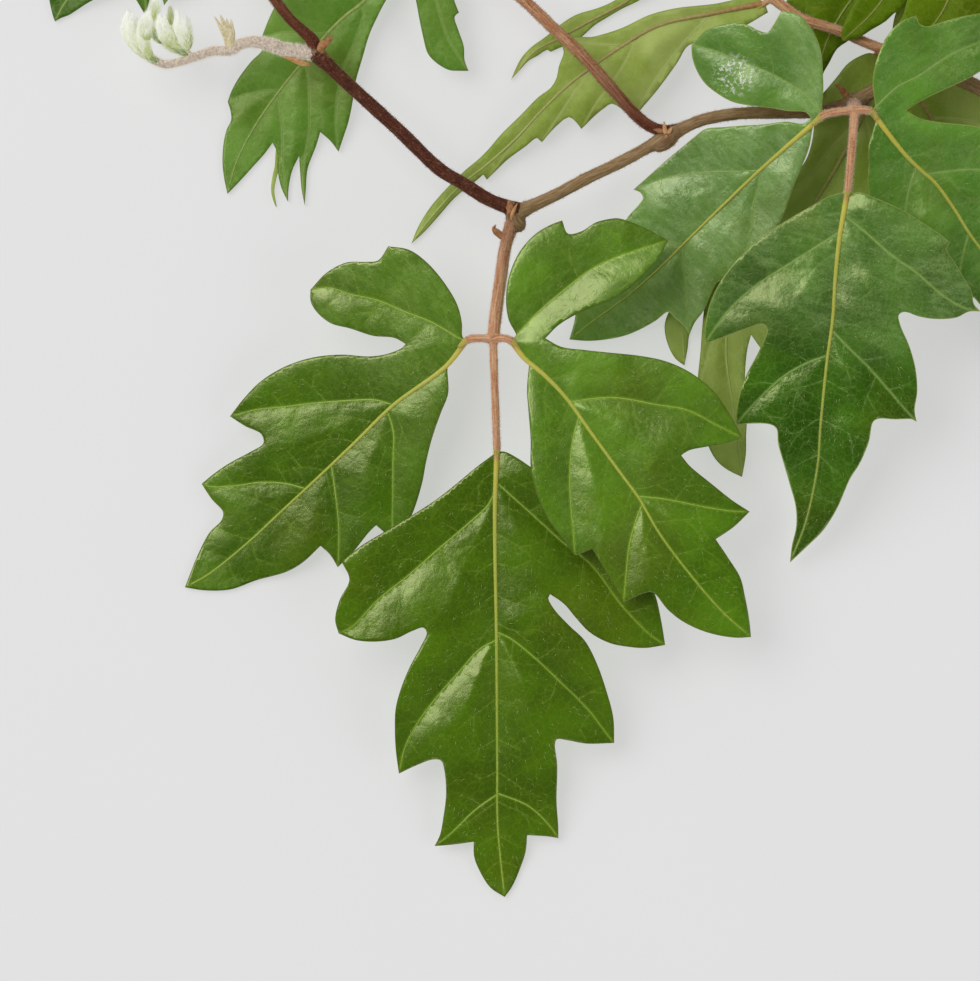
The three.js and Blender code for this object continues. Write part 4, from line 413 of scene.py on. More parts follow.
# The pale shoot beyond the last joint: each stem's radius, taper, tone and points.
SHOOT = [
    (0.85, (1.35, 0.95), 0, [-27.6, 69.9, -0.5, -32.8, 70.5, -0.3, -35.2, 71.3, 0, -38.4, 71.7, 0.2,
     -40.3, 71.1, 0.2, -41.3, 70.2, 0.2]),
    (0.65, (1.15, 0.9), 0.5, [-41.3, 70.2, 0.2, -44.5, 70.2, 0, -46.9, 69.4, 0, -49.3, 68.6, 0,
     -51.8, 68.1, 0, -53.4, 68.6, 0.3, -54.7, 69.4, 0.6, -55.8, 70.8, 0.8]),
    (0.45, (1.15, 0.9), 1, [-47.4, 69.3, 0, -49.6, 70.8, 0.3, -51, 71.6, 0.5]),
]
FAN_ROOT = (-41.6, 69.9, 0.2)
YOUNG_FAN = [  # the fan of young leaflets that springs from FAN_ROOT: half width and tip
    (0.42, (-44, 75.7, 0.6)),
    (0.52, (-43.1, 76, 1.1)),
    (0.46, (-42.1, 75.4, 1)),
    (0.44, (-41.4, 75.4, 0.5)),
    (0.62, (-41.5, 72.8, 1.3)),
]
WOOLLY_BLADES = [  # half width, how green (0 white to 1.5 olive), and points from the shoot outwards
    (0.62, 0, [-55, 69.2, 0.4, -57.1, 71.3, 0.3, -58.4, 74, 0.4, -57.9, 76.4, 0.6]),
    (0.55, 0.15, [-54.9, 69.2, 0.6, -56.3, 71.1, 0.7, -57.4, 73.7, 0.9, -57.2, 76, 1]),
    (0.4, 0.9, [-54.9, 69.2, 0.4, -56.3, 71.4, 0.5, -56.8, 73.4, 0.6, -56.5, 75, 0.7]),
    (0.45, 0, [-54.7, 68.9, 0.8, -55.5, 71.1, 1.2, -55.8, 73.4, 1.5, -55.4, 75.6, 1.5]),
    (0.62, 0.6, [-53, 68.4, 0.5, -54.4, 69.4, 0.9, -54.9, 71.1, 1.1, -54.9, 73, 1.2]),
    (0.95, 0.05, [-54.9, 71.7, 1, -55.1, 73.5, 1.4, -54.8, 75.3, 1.7, -54.4, 76.6, 1.7]),
    (0.75, 0.4, [-54.4, 74.6, 0.8, -53.9, 76, 1.1, -53.4, 77.6, 1.2, -53.2, 79, 1]),
    (0.5, 0.8, [-47.4, 69.3, 0.1, -49.6, 70.3, 0.4, -52, 71.4, 0.6, -53.4, 73, 0.8]),
    (0.6, 1, [-52.2, 71.6, 0.9, -53.1, 72.4, 1.1, -53.6, 73.7, 1.2, -53.4, 74.8, 1.1]),
    (0.75, 0.05, [-50.9, 71.3, 0.8, -52, 72.4, 1.2, -52.6, 74, 1.5, -52.8, 75.8, 1.5]),
    (0.55, 0.4, [-48.6, 70.2, 0.4, -50.6, 71.8, 0.9, -51.5, 73.7, 1.2, -52, 75.6, 1.2]),
    (0.42, 0.7, [-48.5, 70.3, 0.4, -50.1, 72.1, 0.8, -50.9, 74.2, 1, -51, 76.6, 1]),
    (0.28, 1.5, [-50.9, 74.4, 1.3, -51, 75.5, 1.4, -51.1, 76.7, 1.3]),
    (0.45, 0, [-48.5, 70.3, 0.6, -49.4, 72.4, 1.1, -50, 74.5, 1.4, -50, 76.5, 1.4]),
    (0.5, 0.25, [-48.3, 70.3, 0.4, -48.6, 72.1, 0.8, -49.1, 73.7, 1.1, -48.8, 75.4, 1]),
    (0.42, 0.7, [-48.3, 70.3, 0.2, -48, 72.1, 0.4, -48.2, 73.7, 0.5, -48.3, 75, 0.5]),
]

# Leaf stalks: name, radius, points to the leaf's junction, then the radius of the leaflets' stalks and
# each of their points beyond the junction. Here z is from the surface.
PETIOLES = [
    ("petiole_m", 1, [3.5, 42.4, 9, 2.4, 38.6, 9.6, 1.7, 33.8, 10.8, 0.9, 28, 12, 0.5, 24.1, 12.5],
     0.65, [-1.3, 24.3, 12.3, -3, 24.2, 12.1], [1.9, 24.3, 13.5, 2.9, 24.1, 14.3],
     [0.8, 15, 12.7, 1.1, 6.9, 12.1]),
    ("petiole_r", 0.95, [58.2, 61.6, 10, 58.2, 61, 12.5, 58.1, 60.6, 15],
     0.65, [55.5, 60.3, 15.6, 53.4, 59.9, 15.6], [59.3, 60.6, 15.5, 60.1, 60.5, 15.6],
     [57.5, 54, 17.8, 56.9, 48, 18.1]),
    ("petiole_u", 0.95, [31, 57.9, 8.4, 27.9, 57.5, 8.8, 25.6, 58.2, 9, 23.4, 59.9, 9, 19, 64.8, 9,
     14.4, 69.9, 9, 9.8, 74.2, 8.8, 5.3, 78.5, 8.5, -1.6, 84.1, 8, -10.4, 90.5, 7.5],
     0.65, [-12, 89.5, 6.1], [-12.3, 91.8, 7.8], [-10, 92.7, 6.8]),
    ("petiole_n", 0.85, [-28.4, 71.9, 8.9, -31.9, 75.3, 9, -34.4, 78.5, 9, -37.6, 83, 9.2, -40.8, 87.3, 9.2,
     -43.6, 91.8, 9.2],
     0.5, [-45.2, 92.1, 8.2], [-44.9, 93.8, 9.6], [-43.1, 93.1, 8.6]),
    ("petiole_b", 0.85, [68.2, 68.6, 9, 65.6, 69.6, 9, 60.8, 71.3, 8.8, 56, 73.4, 8.5, 49.6, 75.6, 8.4,
     45.1, 78.8, 7.8],
     0.55, [44.4, 78.3, 7.2], [42.4, 83, 5.8, 38.4, 85.9, 4.2, 37, 86.4, 3.7], [46, 80.3, 4.9]),
    ("petiole_d", 0.85, [69.2, 66.8, 8, 66.6, 69.2, 6.2, 63.7, 71.1, 5.4],
     0.55, [63.2, 70.1, 4.5], [62.2, 70.4, 3.6, 61.9, 69.2, 2.2], [64.4, 70, 3.9]),
    ("petiole_c", 0.85, [83, 62.6, 9.5, 82.6, 70.5, 9.3, 80, 78.5, 9.3, 76, 85.7, 9.5, 72, 90, 9.8,
     69.6, 91, 9.8],
     0.55, [68, 89.9, 8.6, 66.8, 89.1, 8], [69.9, 89.8, 10.3, 70.1, 88.9, 10.6],
     [71, 90.2, 11.6, 71.8, 89.2, 12.5]),
]
# The thin lobe that shows behind the tip of leaf u's middle leaflet, z from the surface.
SLIVER = [-34, 54.9, 0.18, -34.1, 53.6, 0.2, -34.2, 52.1, 0.25, -34.7, 50, 0.4, -34.9, 48.1, 0.5,
          -34.6, 46.5, 0.4, -34.3, 45.5, 0.3]


# ---------------------------------------------------------------------------------------------
# Points, and curves in the plane and in space.


def rows(numbers, width):
    """A flat list of numbers as points of width numbers each."""
    return [numbers[i : i + width] for i in range(0, len(numbers), width)]


def lifted(numbers):
    """A stem's flat list as points in space, from heights above or below the vine's axis."""
    return [[x, y, VINE_Z + z] for x, y, z in rows(numbers, 3)]


def stations(path):
    """Distance along a polyline at each of its points."""
    return np.concatenate([[0], np.cumsum(np.linalg.norm(np.diff(path, axis=0), axis=1))])


def unit(vectors):
    """Rows of vectors, each made one long."""
    return vectors / np.linalg.norm(vectors, axis=1)[:, None]


def heading_way(heading):
    """The level direction of a heading in degrees."""
    turn = math.radians(heading)
    return np.array([math.cos(turn), math.sin(turn), 0])


def spline(points, step):
    """Points every step or so along a centripetal spline through points."""
    points = np.asarray(points, float)
    if len(points) < 3:
        count = max(2, int(round(np.linalg.norm(points[-1] - points[0]) / step)) + 1)
        share = np.linspace(0, 1, count)[:, None]
        return points[0] * (1 - share) + points[-1] * share
    padded = np.vstack([2 * points[0] - points[1], points, 2 * points[-1] - points[-2]])
    out = []
    for i in range(1, len(padded) - 2):
        a, b, c, d = padded[i - 1 : i + 3]
        gaps = [max(np.linalg.norm(q - p), 1e-6) ** 0.5 for p, q in ((a, b), (b, c), (c, d))]
        t0, t1, t2, t3 = np.cumsum([0] + gaps)
        count = max(1, int(round(np.linalg.norm(c - b) / step)))
        for k in range(count):
            t = t1 + (t2 - t1) * k / count
            ab = a + (b - a) * (t - t0) / (t1 - t0)
            bc = b + (c - b) * (t - t1) / (t2 - t1)
            cd = c + (d - c) * (t - t2) / (t3 - t2)
            abc = ab + (bc - ab) * (t - t0) / (t2 - t0)
            bcd = bc + (cd - bc) * (t - t1) / (t3 - t1)
            out.append(abc + (bcd - abc) * (t - t1) / (t2 - t1))
    out.append(points[-1])
    return np.array(out)


def line_distance(points, lines, block=2000, nowhere=99.0):
    """Least distance from each point to a set of polylines, worked out block by block."""
    if not lines:
        return np.full(len(points), nowhere)
    starts = np.vstack([line[:-1] for line in lines])
    runs = np.vstack([line[1:] for line in lines]) - starts
    best = np.full(len(points), np.inf)
    for low in range(0, len(points), block):
        some = points[low : low + block, None, :]
        along = ((some - starts) * runs).sum(2) / np.maximum((runs * runs).sum(1), 1e-12)
        gap = some - starts - np.clip(along, 0, 1)[..., None] * runs
        best[low : low + block] = np.sqrt((gap * gap).sum(2).min(1))
    return best


def inside(points, loop):
    """Whether each point lies within a closed loop."""
    result = np.zeros(len(points), bool)
    x, y = points[:, 0], points[:, 1]
    for (ax, ay), (bx, by) in zip(loop, np.roll(loop, -1, 0)):
        crosses = (ay > y) != (by > y)
        if ay != by:
            result ^= crosses & (x < ax + (bx - ax) * (y - ay) / (by - ay))
    return result


# ---------------------------------------------------------------------------------------------
# Meshes.


class Soup:
    """Vertices, faces, a material number for each face and named values for each vertex."""

    def __init__(self, *names):
        self.verts, self.faces, self.mats = [], [], []
        self.values = {name: [] for name in names}
        self.count = 0

    def add(self, verts, faces, mat=0, **values):
        """More vertices and faces. A value that isn't given is 0."""
        self.verts.append(np.asarray(verts, float))
        self.faces.append(np.asarray(faces, int) + self.count)
        self.mats.append(np.broadcast_to(mat, len(faces)))
        for name, parts in self.values.items():
            parts.append(np.broadcast_to(values.get(name, 0.0), len(verts)))
        self.count += len(verts)

    def build(self, name, materials, node, slot):
        """A Blender object from the soup, riding on the root body, in the place of the part's node."""
        verts = np.vstack(self.verts)
        verts[:, :2] -= SPRAY_MIDDLE
        mesh = bpy.data.meshes.new(name)
        verts = np.clip(verts * MM, CAD_BOX[0], CAD_BOX[1])
        mesh.from_pydata(verts.tolist(), [], np.vstack(self.faces).tolist())
        mesh.polygons.foreach_set("use_smooth", np.ones(len(mesh.polygons), bool))
        mesh.polygons.foreach_set("material_index", np.concatenate(self.mats).astype(np.int32))
        for key, parts in self.values.items():
            attribute = mesh.attributes.new(key, "FLOAT", "POINT")
            attribute.data.foreach_set("value", np.concatenate(parts).astype(np.float32))
        for material in materials:
            mesh.materials.append(material)
        mesh.update()
        piece = bpy.data.objects.new(name, mesh)
        bpy.context.scene.collection.objects.link(piece)
        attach(piece, "root")
        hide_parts(node)


def frames_along(path):
    """Two unit vectors across a path at each of its points, turned as little as possible along it."""
    tangents = unit(np.gradient(path, axis=0))
    side = np.cross(tangents[0], (0, 0, 1.0))
    if np.linalg.norm(side) < 0.2:  # the path starts nearly upright
        side = np.cross(tangents[0], (1.0, 0, 0))
    side = side / np.linalg.norm(side)
    sides = []
    for tangent in tangents:
        side = side - tangent * side.dot(tangent)
        side = side / np.linalg.norm(side)
        sides.append(side)
    sides = np.array(sides)
    return sides, np.cross(sides, tangents)


def tube(path, radii, sides=8, flatten=1.0):
    """A closed tube along a path: vertices, faces, and each vertex's distance along and turn about it."""
    path = np.asarray(path, float)
    across, up = frames_along(path)
    turn = np.arange(sides) / sides * 2 * np.pi
    ring = across[:, None] * np.cos(turn)[:, None] + up[:, None] * (flatten * np.sin(turn))[:, None]
    radii = np.broadcast_to(radii, len(path))
    verts = (path[:, None] + ring * radii[:, None, None]).reshape(-1, 3)
    last, start, end = (len(path) - 1) * sides, len(verts), len(verts) + 1
    around = np.arange(sides)
    after = (around + 1) % sides
    faces = []
    for first in range(0, last, sides):
        a, b = first + around, first + after
        faces += [np.column_stack([a, b, b + sides]), np.column_stack([a, b + sides, a + sides])]
    faces.append(np.column_stack([after, around, np.full(sides, start)]))
    faces.append(np.column_stack([last + around, last + after, np.full(sides, end)]))
    steps = stations(path)
    along = np.concatenate([np.repeat(steps, sides), [0, steps[-1]]])
    about = np.concatenate([np.tile(turn, len(path)), [0, 0]])
    return np.vstack([verts, path[0], path[-1]]), np.vstack(faces), along, about


def spikes(roots, directions, lengths, width):
    """Fine closed three-sided hairs."""
    directions = unit(directions)
    upright = np.abs(directions[:, 2:]) >= 0.9
    across = unit(np.cross(directions, np.where(upright, [[1.0, 0, 0]], [[0, 0, 1.0]])))
    up = np.cross(across, directions)
    corners = [roots + (across * math.cos(t) + up * math.sin(t)) * width / 2 for t in (0.5, 2.6, 4.7)]
    verts = np.stack(corners + [roots + directions * np.asarray(lengths)[:, None]], 1).reshape(-1, 3)
    base = np.arange(len(roots))[:, None] * 4
    return verts, np.vstack([base + face for face in ([0, 1, 3], [1, 2, 3], [2, 0, 3], [0, 2, 1])])


# ---------------------------------------------------------------------------------------------
# Leaflets.

TOP, UNDER, VEIN, FUZZ, LOBE = range(5)  # a leaflet's materials
CONVEX_CORNER, HOLLOW_CORNER = 46, 80  # degrees: an edge that turns more than this is sharp there


class Form:
    """A leaflet's flat form at a size: midrib, its smooth curve, length, and sides (start, edge, veins)."""

    def __init__(self, name, scale):
        def points(numbers):
            return [[v * scale, u * scale] for v, u in rows(numbers, 2)]

        midrib, *sides = FORMS[name]
        self.midrib = points(midrib)
        self.curve = spline(self.midrib, 0.6)
        self.length = self.midrib[-1][1]
        self.sides = [(start * scale, points(edge), [(vein[0] * scale, points(vein[1:])) for vein in veins])
                      for start, edge, *veins in sides]

    def on_midrib(self, station):
        """The point of the midrib's smooth curve at a station u."""
        return [np.interp(station, self.curve[:, 1], self.curve[:, 0]), station]

    def outline(self, step):
        """The blade's closed edge, smooth between its sharp corners."""
        base, tip = [0.0, self.curve[0][1]], self.midrib[-1]
        (low, low_edge, low_veins), (high, high_edge, high_veins) = self.sides
        # An edge that starts further up leaves a stretch of the midrib bare.
        begin, end = ([self.on_midrib(start)] if start > 0 else [] for start in (low, high))
        corners = [base, *begin, *low_edge, tip, *reversed(high_edge), *end]
        tips = {tuple(points[-1]) for _, points in low_veins + high_veins}
        tips |= {tuple(point) for point in (base, tip, *begin, *end)}
        n = len(corners)
        angles = [corner_angle(corners[i - 1], corners[i], corners[(i + 1) % n]) for i in range(n)]
        turning = sum(angles) > 0
        sharp = []
        for i, angle in enumerate(angles):
            limit = CONVEX_CORNER if (angle > 0) == turning else HOLLOW_CORNER
            if tuple(corners[i]) in tips or abs(angle) > limit:
                sharp.append(i)
        runs = zip(sharp, sharp[1:] + [sharp[0] + n])
        return np.vstack([spline([corners[i % n] for i in range(a, b + 1)], step)[:-1] for a, b in runs])

    def veins(self, step):
        """The midrib and each side vein as a smooth polyline, from its root to its tip."""
        found = [vein for _, _, veins in self.sides for vein in veins]
        return [self.curve] + [spline([self.on_midrib(root), *points], step) for root, points in found]


def corner_angle(before, at, after):
    """The turn at a corner in degrees, positive to the left."""
    a, b = np.subtract(at, before), np.subtract(after, at)
    return math.degrees(math.atan2(a[0] * b[1] - a[1] * b[0], a.dot(b)))


def blade_height(leaf, form, points, veins):
    """Height of the blade's middle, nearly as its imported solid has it."""
    v, along = points[:, 0], points[:, 1] / form.length
    run = leaf.base_z + (leaf.tip_z - leaf.base_z) * along + leaf.sag * 4 * along * (1 - along)
    share = np.clip((along - FULL_FROM) / FULL_OVER, 0, 1)
    base, tip, middle = FULLNESS.get(leaf.name, EVENLY_FULL)
    full = base + (tip - base) * share**2 * (3 - 2 * share)
    full = full + middle * np.exp(-(((along - MIDDLE) / MIDDLE_WIDTH) ** 2))
    swell = leaf.pleat * BULGE * np.tanh(line_distance(points, veins) / BULGE_WIDTH) * full
    height = run + v * leaf.roll / 10 + swell
    floor = SOLID_BLADE / 2
    return floor + np.logaddexp(0, (height - floor) / SETTLE) * SETTLE


def in_space(leaf, points, height):
    """A leaflet's flat points at their place in the drawing's frame."""
    cos, sin, _ = heading_way(leaf.heading)
    v, u = points[:, 0], points[:, 1]
    return np.column_stack([leaf.base[0] + u * cos - v * sin, leaf.base[1] + u * sin + v * cos, height])


def ripple(points, seed, amount):
    """Slow uneven waves over a blade."""
    random = np.random.default_rng(seed)
    height = np.zeros(len(points))
    for wavelength in WAVELENGTHS:
        heading, phase = random.uniform(0, 2 * np.pi, 2)
        wave = points @ [math.cos(heading), math.sin(heading)] * 2 * np.pi / wavelength + phase
        height += np.sin(wave) * amount * wavelength / WAVELENGTHS[0]
    return height


def blade_mesh(form, grid):
    """The blade's flat triangles: points, faces, the closed edge and the veins."""
    loop = form.outline(grid)
    veins = form.veins(grid * 1.4)
    points, edges = list(loop), [(i, (i + 1) % len(loop)) for i in range(len(loop))]
    for path in veins:
        first = len(points)
        points.extend(path)
        edges.extend((first + i, first + i + 1) for i in range(len(path) - 1))
    low, high = loop.min(0), loop.max(0)
    columns = np.arange(low[0], high[0], grid)
    inner = np.vstack([np.column_stack([columns + (i % 2) * grid / 2, np.full(len(columns), u)])
                       for i, u in enumerate(np.arange(low[1], high[1], grid * ROW_STEP))])
    inner = inner[inside(inner, loop)]
    closed = np.vstack([loop, loop[:1]])
    # Points too near to those on the edge and the veins would give thin triangles.
    inner = inner[line_distance(inner, [closed]) > grid * 0.45]
    inner = inner[line_distance(inner, veins) > grid * 0.4]
    points.extend(inner)
    flat = [Vector((float(p[0]), float(p[1]))) for p in points]
    out, _, faces, *_ = delaunay_2d_cdt(flat, edges, [list(range(len(loop)))], 1, 1e-4)
    return np.array([tuple(p) for p in out]), np.array([f for f in faces if len(f) == 3]), closed, veins


def walked(start, headings):
    """A polyline from start on in fine steps, each with its heading in radians."""
    steps = np.column_stack([np.cos(headings), np.sin(headings)]) * FINE_STEP
    return np.vstack([start, start + np.cumsum(steps, axis=0)])


def fine_vein_starts(veins, random):
    """Where fine veins leave the midrib and the side veins, their headings and lengths."""
    for rank, path in enumerate(veins):
        steps = stations(path)
        at, side = FINE_VEIN_STEP * 0.6, 1
        while at < steps[-1] * 0.93:
            point, ahead = (np.array([np.interp(s, steps, path[:, k]) for k in (0, 1)])
                            for s in (at, min(at + 0.5, steps[-1])))
            for turn in (side,) if rank else (-1, 1):
                turned = turn * math.radians(random.uniform(*FINE_TURN))
                heading = math.atan2(*(ahead - point)[::-1]) + turned
                yield point, heading, random.uniform(*(FINE_FROM_SIDE if rank else FINE_FROM_MIDRIB))
            at += FINE_VEIN_STEP * random.uniform(0.75, 1.3) * (0.7 if rank else 1)
            side = -side


def fine_veins(form, veins, random):
    """The thin branching veins, cut off before they reach the edge or another vein."""
    paths = []
    for start, heading, length in list(fine_vein_starts(veins, random)):
        count = int(length / FINE_STEP)
        bend = random.uniform(-0.05, 0.01)
        wiggle = random.normal(0, 0.1, count)
        headings = heading + bend * np.arange(count) + np.convolve(wiggle, [0.5, 0.5], "same")
        paths.append(walked(start, headings))
        if count > 12:  # the long ones fork half way
            middle = count // 2
            turned = headings[middle] + random.choice([-1, 1]) * FORK_TURN
            fork = turned + np.cumsum(random.normal(0, 0.08, middle))
            paths.append(walked(paths[-1][middle + 1], fork))
    loop = form.outline(1.0)
    closed = np.vstack([loop, loop[:1]])
    kept = []
    for path in paths:
        away = line_distance(path, veins) > VEIN_CLEAR
        away[:4] = True  # its root lies on a vein
        good = inside(path, loop) & (line_distance(path, [closed]) > EDGE_CLEAR) & away
        good[0] = True
        end = len(path) if good.all() else int(np.argmin(good))
        if end > 5:  # long enough to show
            kept.append(path[:end])
    return kept


def blade_solid(faces, top, under):
    """The closed blade between two levels of its points: vertices, faces and their materials."""
    a, b, c = (top[faces[:, k]] for k in range(3))
    up = np.cross(b - a, c - a)[:, 2] > 0
    faces = np.where(up[:, None], faces, faces[:, ::-1])
    directed = np.vstack([faces[:, [0, 1]], faces[:, [1, 2]], faces[:, [2, 0]]])
    keys = {tuple(e) for e in directed}
    a, b = np.array([e for e in map(tuple, directed) if (e[1], e[0]) not in keys]).T
    n = len(top)
    walls = np.vstack([np.column_stack([a, a + n, b + n]), np.column_stack([a, b + n, b])])
    mats = np.repeat([TOP, UNDER, TOP], [len(faces), len(faces), len(walls)])
    return np.vstack([top, under]), np.vstack([faces, faces[:, ::-1] + n, walls]), mats


def raised_vein(path, rank, length):
    """A vein's flat path and its radii; rank 0 is the midrib, which starts a little before its leaflet."""
    share = np.linspace(0, 1, len(path))
    if rank:
        radii = SIDE_TIP + SIDE_TAPER * (1 - share)
    else:
        foot = MIDRIB_FOOT * np.exp(-path[:, 1] / FOOT_LENGTH)
        size = min(1, 0.5 + length / FULL_MIDRIB)
        radii = (MIDRIB_TIP + MIDRIB_TAPER * (1 - share) + foot) * size
        path = np.vstack([path[0] - [0, 0.5], path])
        radii = np.concatenate([[radii[0]], radii])
        share = np.concatenate([[0], share])
    kept = share <= 0.985  # it ends just short of the edge
    return path[kept], radii[kept]


def leaflet(leaf, number):
    """A leaflet's blade and raised veins as a soup, its form, its veins and its upper face's height."""
    form = Form(leaf.form, leaf.scale)
    far = leaf.pleat == FAR_PLEAT
    points, faces, edge, veins = blade_mesh(form, FAR_GRID if far or leaf.scale != 1 else NEAR_GRID)
    fine = fine_veins(form, veins, np.random.default_rng(FINE_SEED + number))
    waviness = RIGHT_RIPPLE if leaf.name.startswith("leaf_r") else RIPPLE

    def lift(flat):
        """Height of the blade's upper face over flat points. Its waves die out towards the veins."""
        from_vein, from_fine, from_edge = (line_distance(flat, lines) for lines in (veins, fine, [edge]))
        pucker = PUCKER * (1 - np.exp(-from_fine / PUCKER_WIDTH)) * np.minimum(from_vein / 1.5, 1)
        waves = ripple(flat, WAVE_SEED + number, waviness) * np.minimum(from_vein / 2.5, 1)
        margin = CURL * np.exp(-from_edge / CURL_WIDTH)
        height = blade_height(leaf, form, flat, veins) - SOLID_BLADE / 2 + BLADE + pucker + waves - margin
        height = CEILING - np.logaddexp(0, (CEILING - height) / SETTLE) * SETTLE
        return np.maximum(height, BLADE)

    height = lift(points)
    top, under = (in_space(leaf, points, level) for level in (height, height - BLADE))
    values = {"vein_d": line_distance(points, veins), "fine_d": line_distance(points, fine),
              "edge_d": line_distance(points, [edge]), "along": points[:, 1], "across": points[:, 0]}
    soup = Soup(*values, "rank")
    both = {key: np.tile(part, 2) for key, part in values.items()}
    soup.add(*blade_solid(faces, top, under), **both)
    for rank, path in enumerate(veins):
        flat, radii = raised_vein(path, rank, form.length)
        sides = 6 if rank else 10
        line = in_space(leaf, flat, lift(flat) + (-0.02 - radii * 0.3 if rank else radii * 0.15))
        verts, skin, *_ = tube(line, radii, sides, 0.85)
        along = np.concatenate([np.repeat(flat[:, 1], sides), flat[[0, -1], 1]])
        soup.add(verts, skin, VEIN, along=along, rank=min(rank, 1), edge_d=5.0)
    for path in [] if far else fine:
        radii = FINE_ROOT - FINE_TAPER * np.linspace(0, 1, len(path))
        verts, skin, *_ = tube(in_space(leaf, path, lift(path) - 0.02), radii, 4)
        soup.add(verts, skin, VEIN, along=20.0, rank=1.6, edge_d=5.0)
    return soup, form, veins, lift


def hairs_on_leaf(leaf, form, veins, lift, random):
    """Short pale hairs that lie along a blade, each pointing the way the nearest vein runs."""
    loop = form.outline(1.5)
    low, high = loop.min(0), loop.max(0)
    count = int(np.prod(high - low) / HAIR_SPACING**2)
    chosen = random.uniform(low, high, (count, 2))
    starts = np.vstack([path[:-1] for path in veins])
    runs = np.vstack([np.diff(path, axis=0) for path in veins])
    gap = ((chosen[:, None] - starts[None] - runs[None] / 2) ** 2).sum(2)
    x, y = unit(runs[gap.argmin(1)]).T
    lean = np.radians(random.normal(0, 28, count))
    cos, sin = np.cos(lean), np.sin(lean)
    way = np.column_stack([x * cos - y * sin, x * sin + y * cos])
    ends = chosen + way * random.uniform(0.6, 1.5, count)[:, None]
    keep = inside(chosen, loop) & inside(ends, loop)
    chosen, ends = chosen[keep], ends[keep]
    a = in_space(leaf, chosen, lift(chosen) - 0.04)
    b = in_space(leaf, ends, lift(ends) + random.uniform(0.05, 0.2, len(ends)))
    return spikes(a, b - a, np.linalg.norm(b - a, axis=1), LEAF_HAIR)


def leaf_pieces():
    """Each leaflet as a piece, with hairs on the near leaves and the lobe behind leaf u's tip."""
    for number, leaf in enumerate(LEAFLETS):
        soup, form, veins, lift = leaflet(leaf, number)
        if leaf.name.startswith(HAIRY_LEAVES):
            hairs = hairs_on_leaf(leaf, form, veins, lift, np.random.default_rng(HAIR_SEED + number))
            soup.add(*hairs, FUZZ, edge_d=5.0)
        if leaf.name == "leaf_u_center":
            path = spline(rows(SLIVER, 3), 0.4)
            radii = 0.38 * np.sin(np.linspace(0.5, 1, len(path)) * np.pi) ** 0.5 + 0.02
            verts, faces, along, about = tube(path, radii, 12, 0.35)
            soup.add(verts, faces, LOBE, along=along, across=about, vein_d=3.0, fine_d=3.0, edge_d=5.0)
        top, vein, slot = LEAF_LOOKS.get(leaf.name) or LEAF_LOOKS[leaf.name[:6]]
        soup.build(leaf.name + "_blade", [top, UNDERSIDE, vein, HAIR, TOP_SHADE], leaf.name, slot)


# ---------------------------------------------------------------------------------------------
# Stems.

SKIN, FUR, SCALE, PALE_SCALE = range(4)  # a stem's materials; the shoot's scales are its young leaves
STEM_SIDES = 14
GRAIN_SHIFT = 37  # each next stem's streaks start this much further along
KNOTS = ((0.0, 0.3, 2.2), (1.0, 0.3, 2.2))  # an internode's swellings: station, extra radius, half length
STALK_FOOT, STALK_HEAD = (0.0, 0.28, 2.4), (1.0, 0.1, 1.0)
BRANCH_KNOT = (0.0, 0.1, 0.8)

# Scales and folded leaves: how many hairs, their length, how flat the bud is, how far its hairs lie along
# it, and how blunt its end is.
Bud = namedtuple("Bud", "hairs length flat silky blunt")
DRY_BUD = Bud(60, 0.35, 0.6, 0.3, 0.5)
FAN_BUD = Bud(170, 0.4, 0.75, 0.7, 0.8)
WOOLLY_BUD = Bud(1100, 1.1, 0.7, 0.72, 0.5)


def swollen(points, radius, swell=(), ends=(1, 1)):
    """A stem's smooth path and its radii, with swellings: station from 0 to 1, extra radius, half length."""
    path = spline(points, 0.4)
    steps = stations(path)
    # Slightly uneven along its length.
    radii = radius * (1 + 0.015 * np.sin(steps * 0.9 + radius * 7) + 0.01 * np.sin(steps * 2.3))
    for station, extra, half in swell:
        radii = radii + extra * np.exp(-(((steps - station * steps[-1]) / half) ** 2))
    return path, radii * np.linspace(ends[0], ends[1], len(path)) + SKIN_SHRINK


def melted(stems, voxel):
    """The skin round all the stems as Blender's voxel remesh gives it: vertices, triangles and normals."""
    soup = Soup()
    for path, radii, _ in stems:
        verts, faces, *_ = tube(path, radii, STEM_SIDES)
        soup.add(verts, faces)
    mesh = bpy.data.meshes.new("stems")
    mesh.from_pydata(np.vstack(soup.verts).tolist(), [], np.vstack(soup.faces).tolist())
    rough = bpy.data.objects.new("stems", mesh)
    bpy.context.scene.collection.objects.link(rough)
    remesh = rough.modifiers.new("fuse", "REMESH")
    remesh.mode, remesh.voxel_size = "VOXEL", voxel
    smooth = rough.modifiers.new("smooth", "SMOOTH")
    smooth.factor, smooth.iterations = 0.5, 6
    shown = rough.evaluated_get(bpy.context.evaluated_depsgraph_get())
    done = shown.to_mesh()
    verts, normals = (np.empty(len(done.vertices) * 3) for _ in range(2))
    done.vertices.foreach_get("co", verts)
    done.vertices.foreach_get("normal", normals)
    faces = np.array([face.vertices[:] for face in done.polygons if len(face.vertices) == 4])
    shown.to_mesh_clear()
    bpy.data.objects.remove(rough)
    bpy.data.meshes.remove(mesh)
    triangles = np.vstack([faces[:, [0, 1, 2]], faces[:, [0, 2, 3]]])
    return verts.reshape(-1, 3), triangles, normals.reshape(-1, 3)


